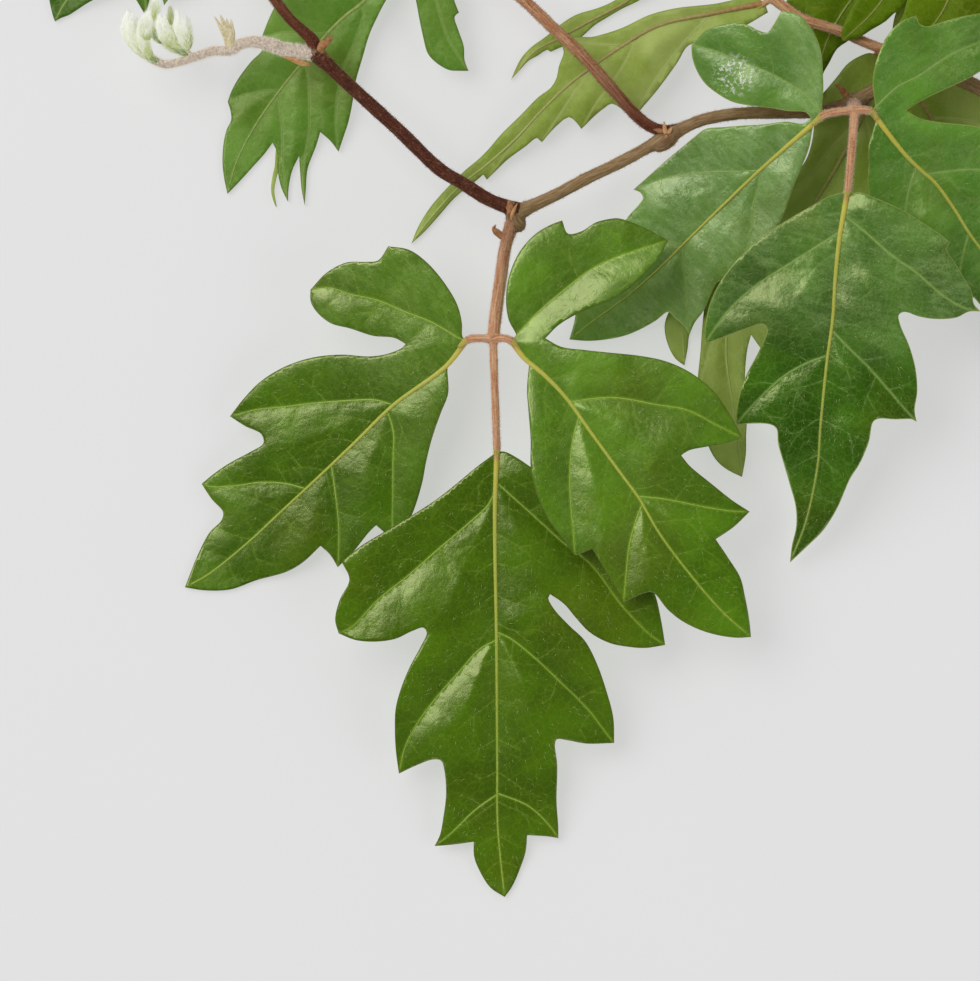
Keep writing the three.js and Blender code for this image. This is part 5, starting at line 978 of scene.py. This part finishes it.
def fused(stems, voxel):
    """Stems (path, radii, tone) joined into one ridged skin: vertices, triangles, normals and values."""
    verts, faces, normals = melted(stems, voxel)
    samples = []
    for number, (path, radii, tone) in enumerate(stems):
        tones = tone if np.ndim(tone) else (tone, tone)
        tones = np.interp(np.linspace(0, 1, len(path)), np.linspace(0, 1, len(tones)), tones)
        along = stations(path) + number * GRAIN_SHIFT
        samples.append(np.column_stack([path, *frames_along(path), along, radii, tones]))
    samples = np.vstack(samples)
    tree = kdtree.KDTree(len(samples))
    for i, sample in enumerate(samples):
        tree.insert(sample[:3], i)
    tree.balance()
    near = samples[[tree.find(v)[1] for v in verts]]
    out, across, up = verts - near[:, :3], near[:, 3:6], near[:, 6:9]
    along, radius, tone = near[:, 9], near[:, 10], near[:, 11]
    about = np.arctan2((out * up).sum(1), (out * across).sum(1)) * radius
    ridges = np.sin(about * 9 + np.sin(along * 0.5) * 1.5) * RIDGE  # they waver along the stem
    return verts + normals * ridges[:, None], faces, normals, {"along": along, "about": about, "tone": tone}


def down(verts, faces, normals, random, count, length, width, lean=0.5):
    """Fine hairs standing out of a skin, spread evenly over it."""
    a, b, c = (verts[faces[:, k]] for k in range(3))
    areas = np.linalg.norm(np.cross(b - a, c - a), axis=1)
    pick = random.choice(len(faces), count, p=areas / areas.sum())
    s, t = random.uniform(0, 1, (2, count, 1))
    flip = s + t > 1
    s, t = np.where(flip, 1 - s, s), np.where(flip, 1 - t, t)
    roots = a[pick] + (b[pick] - a[pick]) * s + (c[pick] - a[pick]) * t
    normal = normals[faces[pick, 0]]
    way = normal + random.normal(0, lean, (count, 3))
    return spikes(roots - normal * 0.03, way, random.uniform(0.35, 1, count) * length, width)


def hairy_skin(stems, voxel, random, *hairs):
    """A soup of fused stems with hairs as down makes them: their count, length, width and lean."""
    verts, faces, normals, values = fused(stems, voxel)
    soup = Soup(*values)
    soup.add(verts, faces, SKIN, **values)
    soup.add(*down(verts, faces, normals, random, *hairs), FUR)
    return soup


def bud(soup, points, half, kind, skin, fur, random, tone=0.5):
    """A scale or folded young leaf along points, with hairs that lean the way it grows."""
    path = spline(points, np.linalg.norm(np.subtract(points[-1], points[0])) / 20)
    t = np.linspace(0, 1, len(path))
    # Widest below its middle, and closing at its end.
    shape = (0.45 + 0.6 * np.sin(np.pi * t**0.8)) * (1 - t ** (1.2 + kind.blunt * 6)) ** 0.5
    radii = np.maximum(half * shape, 0.04) * (1 + 0.06 * np.sin(t * 17 + half * 9))
    verts, faces, along, about = tube(path, radii, STEM_SIDES, kind.flat)
    reach = np.concatenate([np.repeat(t, STEM_SIDES), [0, 1]])
    tones = tone + 0.2 + 0.8 * (1 - reach) ** 1.5
    soup.add(verts, faces, skin, along=along, about=about * half, tone=tones)
    across, up = frames_along(path)
    where = random.uniform(0, len(path) - 1.01, kind.hairs)
    i, s = where.astype(int), (where % 1)[:, None]
    turn = random.uniform(0, 2 * np.pi, kind.hairs)[:, None]
    out = across[i] * np.cos(turn) + up[i] * np.sin(turn) * kind.flat
    middle = path[i] * (1 - s) + path[i + 1] * s
    roots = middle + out * (np.interp(where, np.arange(len(path)), radii) * 0.95)[:, None]
    way = out * (1 - kind.silky) + unit(path[i + 1] - path[i]) * (0.35 + kind.silky * 1.6)
    way = way + random.normal(0, 0.28, (kind.hairs, 3))
    hairs = spikes(roots, way, random.uniform(0.4, 1, kind.hairs) * kind.length, WOOL_WIDTH)
    tones = tone * 0.5 - 0.15 + 0.5 * (1 - where / len(path)) ** 1.5 + random.normal(0, 0.2, kind.hairs)
    soup.add(*hairs, fur, tone=np.repeat(np.clip(tones, 0, 1.5), 4))


def vine_piece():
    """The woody vine: internodes, swollen joints and dry scales."""
    random = np.random.default_rng(VINE_SEED)
    stems = [(*swollen(lifted(points), radius, KNOTS), tone) for radius, tone, points in INTERNODES]
    for *middle, half, width, heading in JOINTS:
        t = np.linspace(-1, 1, 15)
        path = np.array(lifted(middle)[0]) + heading_way(heading) * (t * half)[:, None]
        egg = np.sqrt(np.maximum(1 - t**2, 0.002))
        stems.append((path, width * egg * 0.97, JOINT_TONE))
    soup = hairy_skin(stems, SKIN_VOXEL, random, *VINE_DOWN)
    for half, tan, points in SCALES:
        bud(soup, lifted(points), half, DRY_BUD, PALE_SCALE if tan else SCALE, FUR, random)
    soup.build("vine_bark", [BARK, DOWN_DARK, DRY_SCALE, TAN_SCALE], "vine", "woody_stem")


def leaf_base(x, y):
    """The leaflet whose base is nearest to x, y: where its midrib begins and the way it runs."""
    leaf = min(LEAFLETS, key=lambda one: math.dist(one.base, (x, y)))
    return np.array([*leaf.base, leaf.base_z - MIDRIB_SINK]), heading_way(leaf.heading)


def joint_near(point):
    """The point on the way from a stalk's end into the nearest joint, just under the joint's skin."""
    joints = np.array([lifted(joint[:3])[0] for joint in JOINTS])
    way = joints[np.linalg.norm(joints - point, axis=1).argmin()] - point
    return point + way * min(1, STALK_SINK / np.linalg.norm(way))


def petiole_pieces():
    """Each leaf's stalk with its branches to the leaflets."""
    for number, (name, radius, numbers, branch_radius, *branches) in enumerate(PETIOLES):
        random = np.random.default_rng(STALK_SEED + number)
        points = np.array(rows(numbers, 3), float)
        swell = [STALK_HEAD]
        if name != "petiole_u":  # its points run into its joint as they are
            points = np.vstack([joint_near(points[0]), points])
            swell = [STALK_FOOT, STALK_HEAD]
        main = swollen(points, radius * STALK_SLACK, swell)
        stems = [(*main, STALK_TONES.get(name, STALK_TONE))]
        for branch in branches:
            base, way = leaf_base(*branch[-3:-1])
            route = [points[-1], *rows(branch, 3), *(base + way * run for run in STALK_RUN)]
            path, radii = swollen(route, branch_radius * BRANCH_SLACK, [BRANCH_KNOT], (1.0, 0.95))
            left = np.arange(len(path))[::-1]  # points up to the end, where it narrows into the midrib
            tones = np.where(left < 5, BRANCH_TIP_TONE, BRANCH_TONE)
            stems.append((path, radii * np.minimum(1, 0.55 + left * 0.1), tones))
        length = sum(np.linalg.norm(np.diff(path, axis=0), axis=1).sum() for path, *_ in stems)
        count = int(length * (MANY_HAIRS if name in HAIRY_STALKS else FEW_HAIRS))
        soup = hairy_skin(stems, SKIN_VOXEL, random, count, *STALK_DOWN)
        soup.build(name + "_skin", [STALK, DOWN_DARK if name in DARK_STALKS else DOWN], name, "leaf_stalk")


def shoot_piece():
    """The pale shoot, its stipules and the woolly folded leaves at its end."""
    random = np.random.default_rng(SHOOT_SEED)
    stems = [(*swollen(lifted(points), radius, (), taper), tone) for radius, taper, tone, points in SHOOT]
    soup = hairy_skin(stems, SHOOT_VOXEL, random, *SHOOT_DOWN)
    for half, tip in YOUNG_FAN:
        start, end = np.array(lifted([*FAN_ROOT, *tip]))
        middle = (start + end) / 2 + np.cross(end - start, (0, 0, 0.06))
        bud(soup, [start, middle, end], half, FAN_BUD, PALE_SCALE, FUR, random)
    for half, tone, points in WOOLLY_BLADES:
        bud(soup, lifted(points), half * 1.2, WOOLLY_BUD, SCALE, SCALE, random, tone)
    soup.build("shoot_wool", [SHOOT_SKIN, DOWN_PALE, WOOL, YOUNG_LEAF], "shoot_tip", "woolly_shoot")


# ---------------------------------------------------------------------------------------------
# Materials. Each is built from what its mesh keeps for each vertex, in mm: vein_d, fine_d and edge_d are
# distances to the nearest vein, fine vein and edge; along and across run along and across a leaflet, along
# and about run along and round a stem. rank is 0 on a midrib, 1 on a side vein and 1.6 on a fine one.


def colour(hexa):
    """A colour given as it looks, as linear light."""
    parts = [int(hexa[i : i + 2], 16) / 255 for i in (0, 2, 4)]
    return [p / 12.92 if p <= 0.04045 else ((p + 0.055) / 1.055) ** 2.4 for p in parts] + [1.0]


class Nodes:
    """A material's node tree and short ways to add to it."""

    def __init__(self, name):
        self.material = bpy.data.materials.new(name)
        self.material.use_nodes = True
        self.tree = self.material.node_tree
        self.tree.nodes.clear()
        self.shader = self.add("BsdfPrincipled")
        self.add("OutputMaterial", self.shader.outputs[0])

    def add(self, kind, *values, **settings):
        """A node of a kind with its settings, and its first sockets set to values."""
        node = self.tree.nodes.new("ShaderNode" + kind)
        for key, value in settings.items():
            setattr(node, key, value)
        for socket, value in zip(node.inputs, values):
            self.set(socket, value)
        return node

    def set(self, socket, value):
        """Links a socket to another node's output, or gives it a plain value."""
        if hasattr(value, "links"):
            self.tree.links.new(value, socket)
        else:
            socket.default_value = value

    def value(self, name):
        return self.add("Attribute", attribute_name=name).outputs["Fac"]

    def vector(self, x, y):
        return self.add("CombineXYZ", x, y).outputs[0]

    def stretched(self, first, by_first, second, by_second):
        """Two of the mesh's values, each multiplied: a place on which noise runs in streaks."""
        x, y = self.value(first), self.value(second)
        return self.vector(self.times(x, by_first), self.times(y, by_second))

    def math(self, operation, a, b):
        return self.add("Math", a, b, operation=operation).outputs[0]

    def times(self, a, b):
        return self.math("MULTIPLY", a, b)

    def ramp(self, value, low, high, a=0.0, b=1.0):
        """value from low to high becomes a to b, smoothly."""
        return self.add("MapRange", value, low, high, a, b, interpolation_type="SMOOTHSTEP").outputs[0]

    def mix(self, share, a, b):
        node = self.add("Mix", share, data_type="RGBA")
        self.set(node.inputs[6], a)
        self.set(node.inputs[7], b)
        return node.outputs[2]

    def between(self, share, low, high):
        """One colour where share is 0 and another where it is 1."""
        return self.mix(share, colour(low), colour(high))

    def tint(self, base, share, hexa):
        """base with a share of a colour over it."""
        return self.mix(share, base, colour(hexa))

    def noise(self, place, scale, detail=2.0, roughness=0.5):
        node = self.add("TexNoise", place)
        for key, value in (("Scale", scale), ("Detail", detail), ("Roughness", roughness)):
            node.inputs[key].default_value = value
        return node.outputs["Fac"]

    def cells(self, place, scale):
        """Distance to the nearest border between uneven cells."""
        node = self.add("TexVoronoi", place, feature="DISTANCE_TO_EDGE")
        node.inputs["Scale"].default_value = scale
        return node.outputs["Distance"]

    def place(self):
        """Object coordinates in millimetres."""
        node = self.add("VectorMath", self.add("TexCoord").outputs["Object"], operation="SCALE")
        node.inputs["Scale"].default_value = 1 / MM
        return node.outputs[0]

    def from_point(self, place, point):
        """Distance in plan from a point, mm."""
        flat = self.add("VectorMath", place, (1, 1, 0), operation="MULTIPLY").outputs[0]
        centre = (point[0] - SPRAY_MIDDLE[0], point[1] - SPRAY_MIDDLE[1], 0)
        return self.add("VectorMath", flat, centre, operation="DISTANCE").outputs["Value"]

    def bump(self, height, distance, strength=1.0, before=None):
        """Relief of a height that is distance mm deep, over the relief before it."""
        node = self.add("Bump", strength, distance * MM)
        self.set(node.inputs["Height"], height)
        if before is not None:
            self.set(node.inputs["Normal"], before)
        return node.outputs[0]

    def finish(self, base, roughness, normal=None, **sockets):
        """The material, with its shader's sockets set."""
        self.set(self.shader.inputs["Base Color"], base)
        self.set(self.shader.inputs["Roughness"], roughness)
        if normal is not None:
            self.set(self.shader.inputs["Normal"], normal)
        for key, value in sockets.items():
            self.shader.inputs[key.replace("_", " ")].default_value = value
        return self.material


def leaf_top(name, deep, mid, light, edge, rough, specular=1.0, bloom_and_sheen=0.0, bloom_sheen_colour="b4cc98", fade=(34.0, 14.0),
             tint=0.52, relief=0.04, flecks=None, tip_rough=0.0):
    """The glossy upper face: green that varies, a fine grain, paler along the veins, a thin edge.

    The two arguments after specular are the share and the colour of a pale tint near the leaflet's base,
    which
    comes in between the distances in fade: partly a real waxy film on the leaf, partly painted sheen where
    the blade should catch the key light. tint is how blue the highlights are, relief the depth of the coarse
    bumps, flecks the middle of some white flecks, and tip_rough is added to the roughness of the outer half.
    """
    n = Nodes(name)
    place, along = n.place(), n.value("along")
    flat = n.vector(n.value("across"), along)
    base = n.between(n.ramp(n.noise(place, 0.09, 3.0, 0.55), 0.36, 0.64), deep, mid)
    base = n.tint(base, n.ramp(n.noise(place, 0.06), 0.52, 0.72, 0.0, 0.3), "6c7408")
    grain = n.noise(place, 2.4, 3.0, 0.65)

    # The pale waxy film and painted sheen: in fine grains, in strokes across the leaflet and in large uneven
    # patches.
    bloom_sheen_mask = n.times(n.ramp(along, *fade), n.ramp(n.noise(place, 4.2, 3.0, 0.65), 0.36, 0.66, 0.45, 1.0))
    strokes = n.noise(n.stretched("across", 0.4, "along", 1.3), 0.8, 3.0, 0.65)
    bloom_sheen_mask = n.times(bloom_sheen_mask, n.ramp(strokes, 0.34, 0.66, 0.55, 1.35))
    if flecks:
        away = n.from_point(place, flecks)
        bloom_sheen_mask = n.times(bloom_sheen_mask, n.ramp(away, 7.0, 13.0, 0.2, 1.0))
    uneven = n.ramp(n.noise(place, 0.16, 3.0, 0.6), 0.36, 0.64, 0.4, 1.0)
    # painted sheen, with the waxy film, pales the green where the mask is
    base = n.tint(base, n.times(n.times(bloom_sheen_mask, uneven), bloom_and_sheen), bloom_sheen_colour)
    if flecks:
        spots = n.ramp(n.noise(place, 1.5, 4.0, 0.75), 0.51, 0.58)
        base = n.tint(base, n.times(spots, n.ramp(away, 1.8, 4.2, 1.0, 0.0)), "f4faf0")

    base = n.tint(base, n.ramp(n.cells(flat, 0.75), 0.0, 0.06, 0.16, 0.0), light)  # the finest net of veins
    base = n.tint(base, n.ramp(n.value("fine_d"), 0.05, 0.35, 0.12, 0.0), light)
    base = n.tint(base, n.ramp(n.value("vein_d"), 0.1, 0.4, 0.35, 0.0), light)
    base = n.tint(base, n.ramp(grain, 0.35, 0.75, 0.0, 0.1), light)
    base = n.tint(base, n.ramp(n.value("edge_d"), 0.04, 0.2, 0.6, 0.0), edge)
    shine = n.math("ADD", n.times(n.math("SUBTRACT", grain, 0.5), 0.1), rough)
    if tip_rough:
        shine = n.math("ADD", shine, n.ramp(along, 20.0, 32.0, 0.0, tip_rough))
    coarse = n.bump(n.noise(place, 1.0, 3.0, 0.6), relief, 0.8)
    fine = n.bump(n.noise(place, 2.7, 2.0, 0.6), 0.05, 0.55, coarse)
    quilt = n.bump(n.ramp(n.cells(flat, 0.6), 0.0, 0.3), 0.03, 0.5, fine)
    highlight = (0.95, 1.0, tint, 1)
    return n.finish(base, shine, quilt, IOR=1.8, Specular_IOR_Level=specular, Specular_Tint=highlight)


def underside():
    """The dull underside: paler green, a net of veins, and rust along the larger ones."""
    n = Nodes("leaf_underside")
    place = n.place()
    base = n.between(n.noise(place, 0.3, 3.0), "6f8f4c", "8aa664")
    net = n.ramp(n.cells(n.vector(n.value("across"), n.value("along")), 0.5), 0.0, 0.08, 1.0, 0.0)
    base = n.tint(base, n.times(net, 0.35), "b0bf7c")
    base = n.tint(base, n.ramp(n.value("vein_d"), 0.2, 0.9, 0.55, 0.0), "8e6a42")
    return n.finish(base, 0.7, n.bump(n.noise(place, 2.0, 3.0), 0.08, 0.6))


def vein_skin(name, root, mid, tip, side, fine):
    """The raised veins: tan where the midrib joins its stalk, then yellow, then green."""
    n = Nodes(name)
    along, rank = n.value("along"), n.value("rank")
    base = n.between(n.ramp(along, 1.0, 14.0), root, mid)
    base = n.tint(base, n.ramp(along, 18.0, 55.0), tip)
    base = n.tint(base, n.ramp(rank, 0.2, 0.9), side)
    base = n.tint(base, n.ramp(rank, 1.2, 1.5), fine)
    foot = n.times(n.ramp(along, 0.0, 2.4, 1.0, 0.0), n.ramp(rank, 0.0, 0.5, 1.0, 0.0))
    base = n.tint(base, foot, "c2834e")
    grain = n.noise(n.place(), 1.6)
    base = n.tint(base, n.ramp(grain, 0.35, 0.75, 0.0, 0.25), "e0e08c")
    return n.finish(base, 0.45, n.bump(grain, 0.05, 0.5))


def bark():
    """Young bark: red-brown towards the tip (tone 0), olive brown where it is older (tone 1)."""
    n = Nodes("vine_bark")
    place = n.place()
    streaks = n.noise(n.stretched("along", 0.25, "about", 2.2), 1.5, 4.0, 0.6)
    spread = n.ramp(streaks, 0.32, 0.68)
    tone = n.math("ADD", n.value("tone"), n.times(n.math("SUBTRACT", n.noise(place, 0.5), 0.5), 0.5))
    young, old = n.between(spread, "451c10", "6e3a26"), n.between(spread, "927048", "b69c72")
    base = n.mix(n.ramp(tone, 0.1, 0.9), young, old)
    base = n.tint(base, n.times(n.ramp(n.noise(place, 1.9), 0.6, 0.7), 0.3), "b08a66")
    bump = n.bump(streaks, 0.12, 0.8, n.bump(n.noise(place, 2.5), 0.05, 0.5))
    return n.finish(base, 0.65, bump, Specular_IOR_Level=0.25)


def stalk_skin():
    """A leaf stalk: dark red (tone 0), salmon (tone 1), yellow at a midrib (tone 1.4), with pale ridges."""
    n = Nodes("stalk_skin")
    place, tone = n.place(), n.value("tone")
    streaks = n.noise(n.stretched("along", 0.16, "about", 2.6), 1.4, 3.0, 0.55)
    spread = n.ramp(streaks, 0.3, 0.7)
    base = n.mix(tone, n.between(spread, "481408", "74351f"), n.between(spread, "c87a4a", "f8c89a"))
    mottle = n.noise(place, 2.6, 3.0, 0.65)
    base = n.tint(base, n.times(n.ramp(mottle, 0.52, 0.68, 0.0, 0.4), n.ramp(tone, 0.1, 0.8)), "e6c4a2")
    base = n.tint(base, n.ramp(mottle, 0.46, 0.34, 0.0, 0.3), "7c3a1e")
    base = n.tint(base, n.ramp(tone, 1.1, 1.3), "ccc04e")
    bump = n.bump(streaks, 0.12, 0.7, n.bump(n.noise(place, 2.5), 0.05, 0.6))
    return n.finish(base, 0.65, bump, Specular_IOR_Level=0.25)


def plain(name, low, high, rough=0.7, scale=1.2, depth=0.05, glow=0.0):
    """A small soft surface of two near colours; the glow stands for light that soaks through fine hairs."""
    n = Nodes(name)
    grain = n.noise(n.place(), scale, 3.0, 0.6)
    base = n.between(n.ramp(grain, 0.3, 0.7), low, high)
    bump = n.bump(grain, depth, 0.6)
    return n.finish(base, rough, bump, Emission_Color=colour(high), Emission_Strength=glow)


def wool():
    """Silky young leaves: white (tone 0), pale green, yellow green (tone 1), olive (tone 1.5)."""
    n = Nodes("shoot_wool")
    tone = n.value("tone")
    grain = n.noise(n.stretched("along", 0.3, "about", 3.0), 1.8, 3.0, 0.6)
    base = n.between(n.ramp(grain, 0.35, 0.6), "dce0cc", "ffffff")
    for low, high, hexa in ((0.0, 0.6, "ccd2b4"), (0.6, 1.0, "a8b468"), (1.1, 1.5, "56701c")):
        base = n.tint(base, n.ramp(tone, low, high), hexa)
    # The wool glows in its own colour: painted light, for light that soaks through and scatters in the fine
    # hairs.
    n.set(n.shader.inputs["Emission Color"], base)
    return n.finish(base, 0.8, n.bump(grain, 0.04, 0.6), Emission_Strength=0.34)


# A leaflet's top is paler towards its base where it takes a share of pale tint: partly a waxy film, partly
# painted sheen.
WARM = {"edge": "6e6a2c", "bloom_sheen_colour": "a4d064"}
COOL = {"light": "a8d06c", "edge": "b8c860", "bloom_sheen_colour": "b8e08c", "tint": 0.5, "relief": 0.1}
FILM_AND_SHEEN = {"light": "a8d06c", "edge": "b8c860", "bloom_sheen_colour": "cae6a4", "tint": 0.7, "relief": 0.12}
SOFT = {"light": "a6c86a", "edge": "7d8a48", "rough": 0.42}
TOP_WARM = leaf_top("leaf_top_warm", "4a7000", "5a8800", "a0c828", rough=0.32, **WARM)
# M's right leaflet: lighter greens than the warm top and a pale tint near its base, painted sheen for the
# light it catches.
TOP_LIT = leaf_top("leaf_top_lit", "4c7a00", "629a08", "a8d030", rough=0.33, bloom_and_sheen=0.3, fade=(50.0, 12.0),
                   **WARM)
# M's left leaflet: a strong pale tint over its basal lobe, painted sheen.
TOP_LEFT = leaf_top("leaf_top_left", "456e00", "568600", "a0c828", rough=0.33, bloom_and_sheen=0.42, fade=(30.0, 2.0),
                    **WARM)
# R's middle and right leaflets: painted sheen pales their green near the base, over most of the right one's
# length.
TOP_COOL = leaf_top("leaf_top_cool", "326202", "488208", rough=0.37, bloom_and_sheen=0.38, fade=(29.0, 17.0),
                    tip_rough=-0.09, **COOL)
TOP_CLEAR = leaf_top("leaf_top_clear", "488a0a", "66a81e", rough=0.37, bloom_and_sheen=0.3, fade=(66.0, 30.0), **COOL)
# R's left leaflet: the strongest pale tint, partly a waxy film and partly painted sheen, over most of its
# length.
TOP_FILM_AND_SHEEN = leaf_top("leaf_top_frost", "528c14", "6ea828", rough=0.39, bloom_and_sheen=0.48, fade=(66.0, 30.0),
                     flecks=FLECKS, **FILM_AND_SHEEN)
TOP_SOFT = leaf_top("leaf_top_soft", "5c9020", "70a436", specular=0.6, **SOFT)
TOP_DIM = leaf_top("leaf_top_dim", "3c6c14", "4a7e20", specular=0.5, **SOFT)
TOP_SHADE = leaf_top("leaf_top_shade", "94ae40", "b6ca6a", "ccd886", "8c9a45", rough=0.55, specular=0.3)
TOP_OLIVE = leaf_top("leaf_top_olive", "547204", "6c8c0e", "a9bb50", "8c9a45", rough=0.5, specular=0.06)
UNDERSIDE = underside()
VEIN_WARM = vein_skin("leaf_vein_warm", "dccf58", "c8cc50", "9fbd3c", "a4c854", "86aa3c")
VEIN_COOL = vein_skin("leaf_vein_cool", "dcd050", "c8c850", "9cb44a", "96b85c", "8ab45e")
VEIN_SOFT = vein_skin("leaf_vein_soft", "b5bd5c", "a0b85c", "86a84c", "7fa34c", "7fa34c")
VEIN_SHADE = vein_skin("leaf_vein_shade", "b07c4c", "b0a060", "b4c46c", "b6c672", "b6c672")
VEIN_OLIVE = vein_skin("leaf_vein_olive", "9a8440", "8a9a38", "86983a", "84983a", "84983a")
HAIR = plain("leaf_hair", "9ab854", "ccd88e", 0.6)
BARK = bark()
STALK = stalk_skin()
DOWN = plain("stem_down", "d4b8a2", "f6eadc", glow=0.06)
DOWN_PALE = plain("shoot_down", "e8dccc", "fffaf0", glow=0.22)
DOWN_DARK = plain("vine_down", "86583e", "c49a7a")
DRY_SCALE = plain("dry_scale", "9a6038", "cc9462")
TAN_SCALE = plain("tan_scale", "c88a50", "ecbc86")
SHOOT_SKIN = plain("shoot_skin", "b8a490", "ecdccc", scale=2.2, depth=0.02, glow=0.04)
WOOL = wool()
YOUNG_LEAF = plain("young_leaf", "c8b884", "eadfba", glow=0.08)

LEAF_LOOKS = {  # upper face, veins and slot: a leaflet's own or else its leaf's
    "leaf_m": (TOP_WARM, VEIN_WARM, "leaf_blade"),
    "leaf_m_left": (TOP_LEFT, VEIN_WARM, "leaf_blade"),
    "leaf_m_right": (TOP_LIT, VEIN_WARM, "leaf_blade"),
    "leaf_r": (TOP_CLEAR, VEIN_COOL, "leaf_blade"),
    "leaf_r_center": (TOP_COOL, VEIN_COOL, "leaf_blade"),
    "leaf_r_left": (TOP_FILM_AND_SHEEN, VEIN_COOL, "leaf_blade"),
    "leaf_u": (TOP_SOFT, VEIN_SOFT, "leaf_blade"),
    "leaf_n": (TOP_DIM, VEIN_SOFT, "leaf_blade"),
    "leaf_b": (TOP_SHADE, VEIN_SHADE, "leaf_shade"),
    "leaf_d": (TOP_SHADE, VEIN_SHADE, "leaf_shade"),
    "leaf_c": (TOP_OLIVE, VEIN_OLIVE, "leaf_shade"),
}


# ---------------------------------------------------------------------------------------------
# Floor, lights and camera.


def stage():
    """The pale floor just under the spray."""
    n = Nodes("pale_floor")
    base = n.mix(n.noise(n.place(), 0.02), (0.37, 0.37, 0.37, 1), (0.39, 0.39, 0.39, 1))
    glow = {"Emission_Color": (1, 1, 1, 1), "Emission_Strength": FLOOR_GLOW}
    material = n.finish(base, 0.9, Specular_IOR_Level=0.0, **glow)
    mesh = bpy.data.meshes.new("floor")
    corners = [(x * FLOOR_HALF, y * FLOOR_HALF, 0) for x, y in ((-1, -1), (1, -1), (1, 1), (-1, 1))]
    mesh.from_pydata(corners, [], [(0, 1, 2, 3)])
    mesh.materials.append(material)
    floor = bpy.data.objects.new("floor", mesh)
    floor.location.z = -FLOOR_DROP
    bpy.context.scene.collection.objects.link(floor)


def area_light(name, heading, from_above, distance, size, power, mirrored=True):
    """A square softbox that looks at the spray from a heading, some degrees from straight above.

    Distance and size are in metres. One that isn't mirrored gives no highlights.
    """
    drop = math.radians(from_above)
    east, north, _ = heading_way(heading) * math.sin(drop)
    place = Vector((east, north, math.cos(drop))) * distance
    light = bpy.data.lights.new(name, "AREA")
    light.shape, light.size, light.energy = "SQUARE", size, power
    holder = bpy.data.objects.new(name, light)
    holder.location = place
    holder.rotation_euler = place.to_track_quat("Z", "Y").to_euler()
    holder.visible_glossy = mirrored
    bpy.context.scene.collection.objects.link(holder)


def lights():
    """A big soft key from the top of the picture, a fill, and a dome that is dim overhead."""
    area_light("key", 146, 38, 1.6, 1.2, 12.5)
    area_light("fill", -20, 55, 1.8, 1.2, 4.0, False)
    world = bpy.data.worlds.new("studio")
    world.use_nodes = True
    tree = world.node_tree
    place = tree.nodes.new("ShaderNodeTexCoord")
    split = tree.nodes.new("ShaderNodeSeparateXYZ")
    dim = tree.nodes.new("ShaderNodeMapRange")
    dim.interpolation_type = "SMOOTHSTEP"
    for socket, value in zip(list(dim.inputs)[1:5], DOME_RISE + DOME_LIGHT):
        socket.default_value = value
    tree.links.new(place.outputs["Generated"], split.inputs[0])
    tree.links.new(split.outputs[2], dim.inputs[0])
    tree.links.new(dim.outputs[0], tree.nodes["Background"].inputs[1])
    tree.nodes["Background"].inputs[0].default_value = (1.0, 0.99, 0.98, 1)
    world.cycles_visibility.glossy = False
    bpy.context.scene.world = world


def camera():
    """Straight down, with the middle of the photograph's frame over the drawing's middle."""
    view = bpy.data.cameras.new("camera")
    view.lens, view.sensor_width = LENS, SENSOR
    view.clip_start, view.clip_end = 0.05, 20
    holder = bpy.data.objects.new("camera", view)
    distance = VIEW_WIDTH * LENS / SENSOR
    holder.location = Vector((-SPRAY_MIDDLE[0], -SPRAY_MIDDLE[1], VIEW_PLANE + distance)) * MM
    bpy.context.scene.collection.objects.link(holder)
    bpy.context.scene.camera = holder
    bpy.context.scene.view_settings.view_transform = "Standard"


camera()
lights()
stage()
leaf_pieces()
vine_piece()
petiole_pieces()
shoot_piece()

bpy.context.view_layer.update()
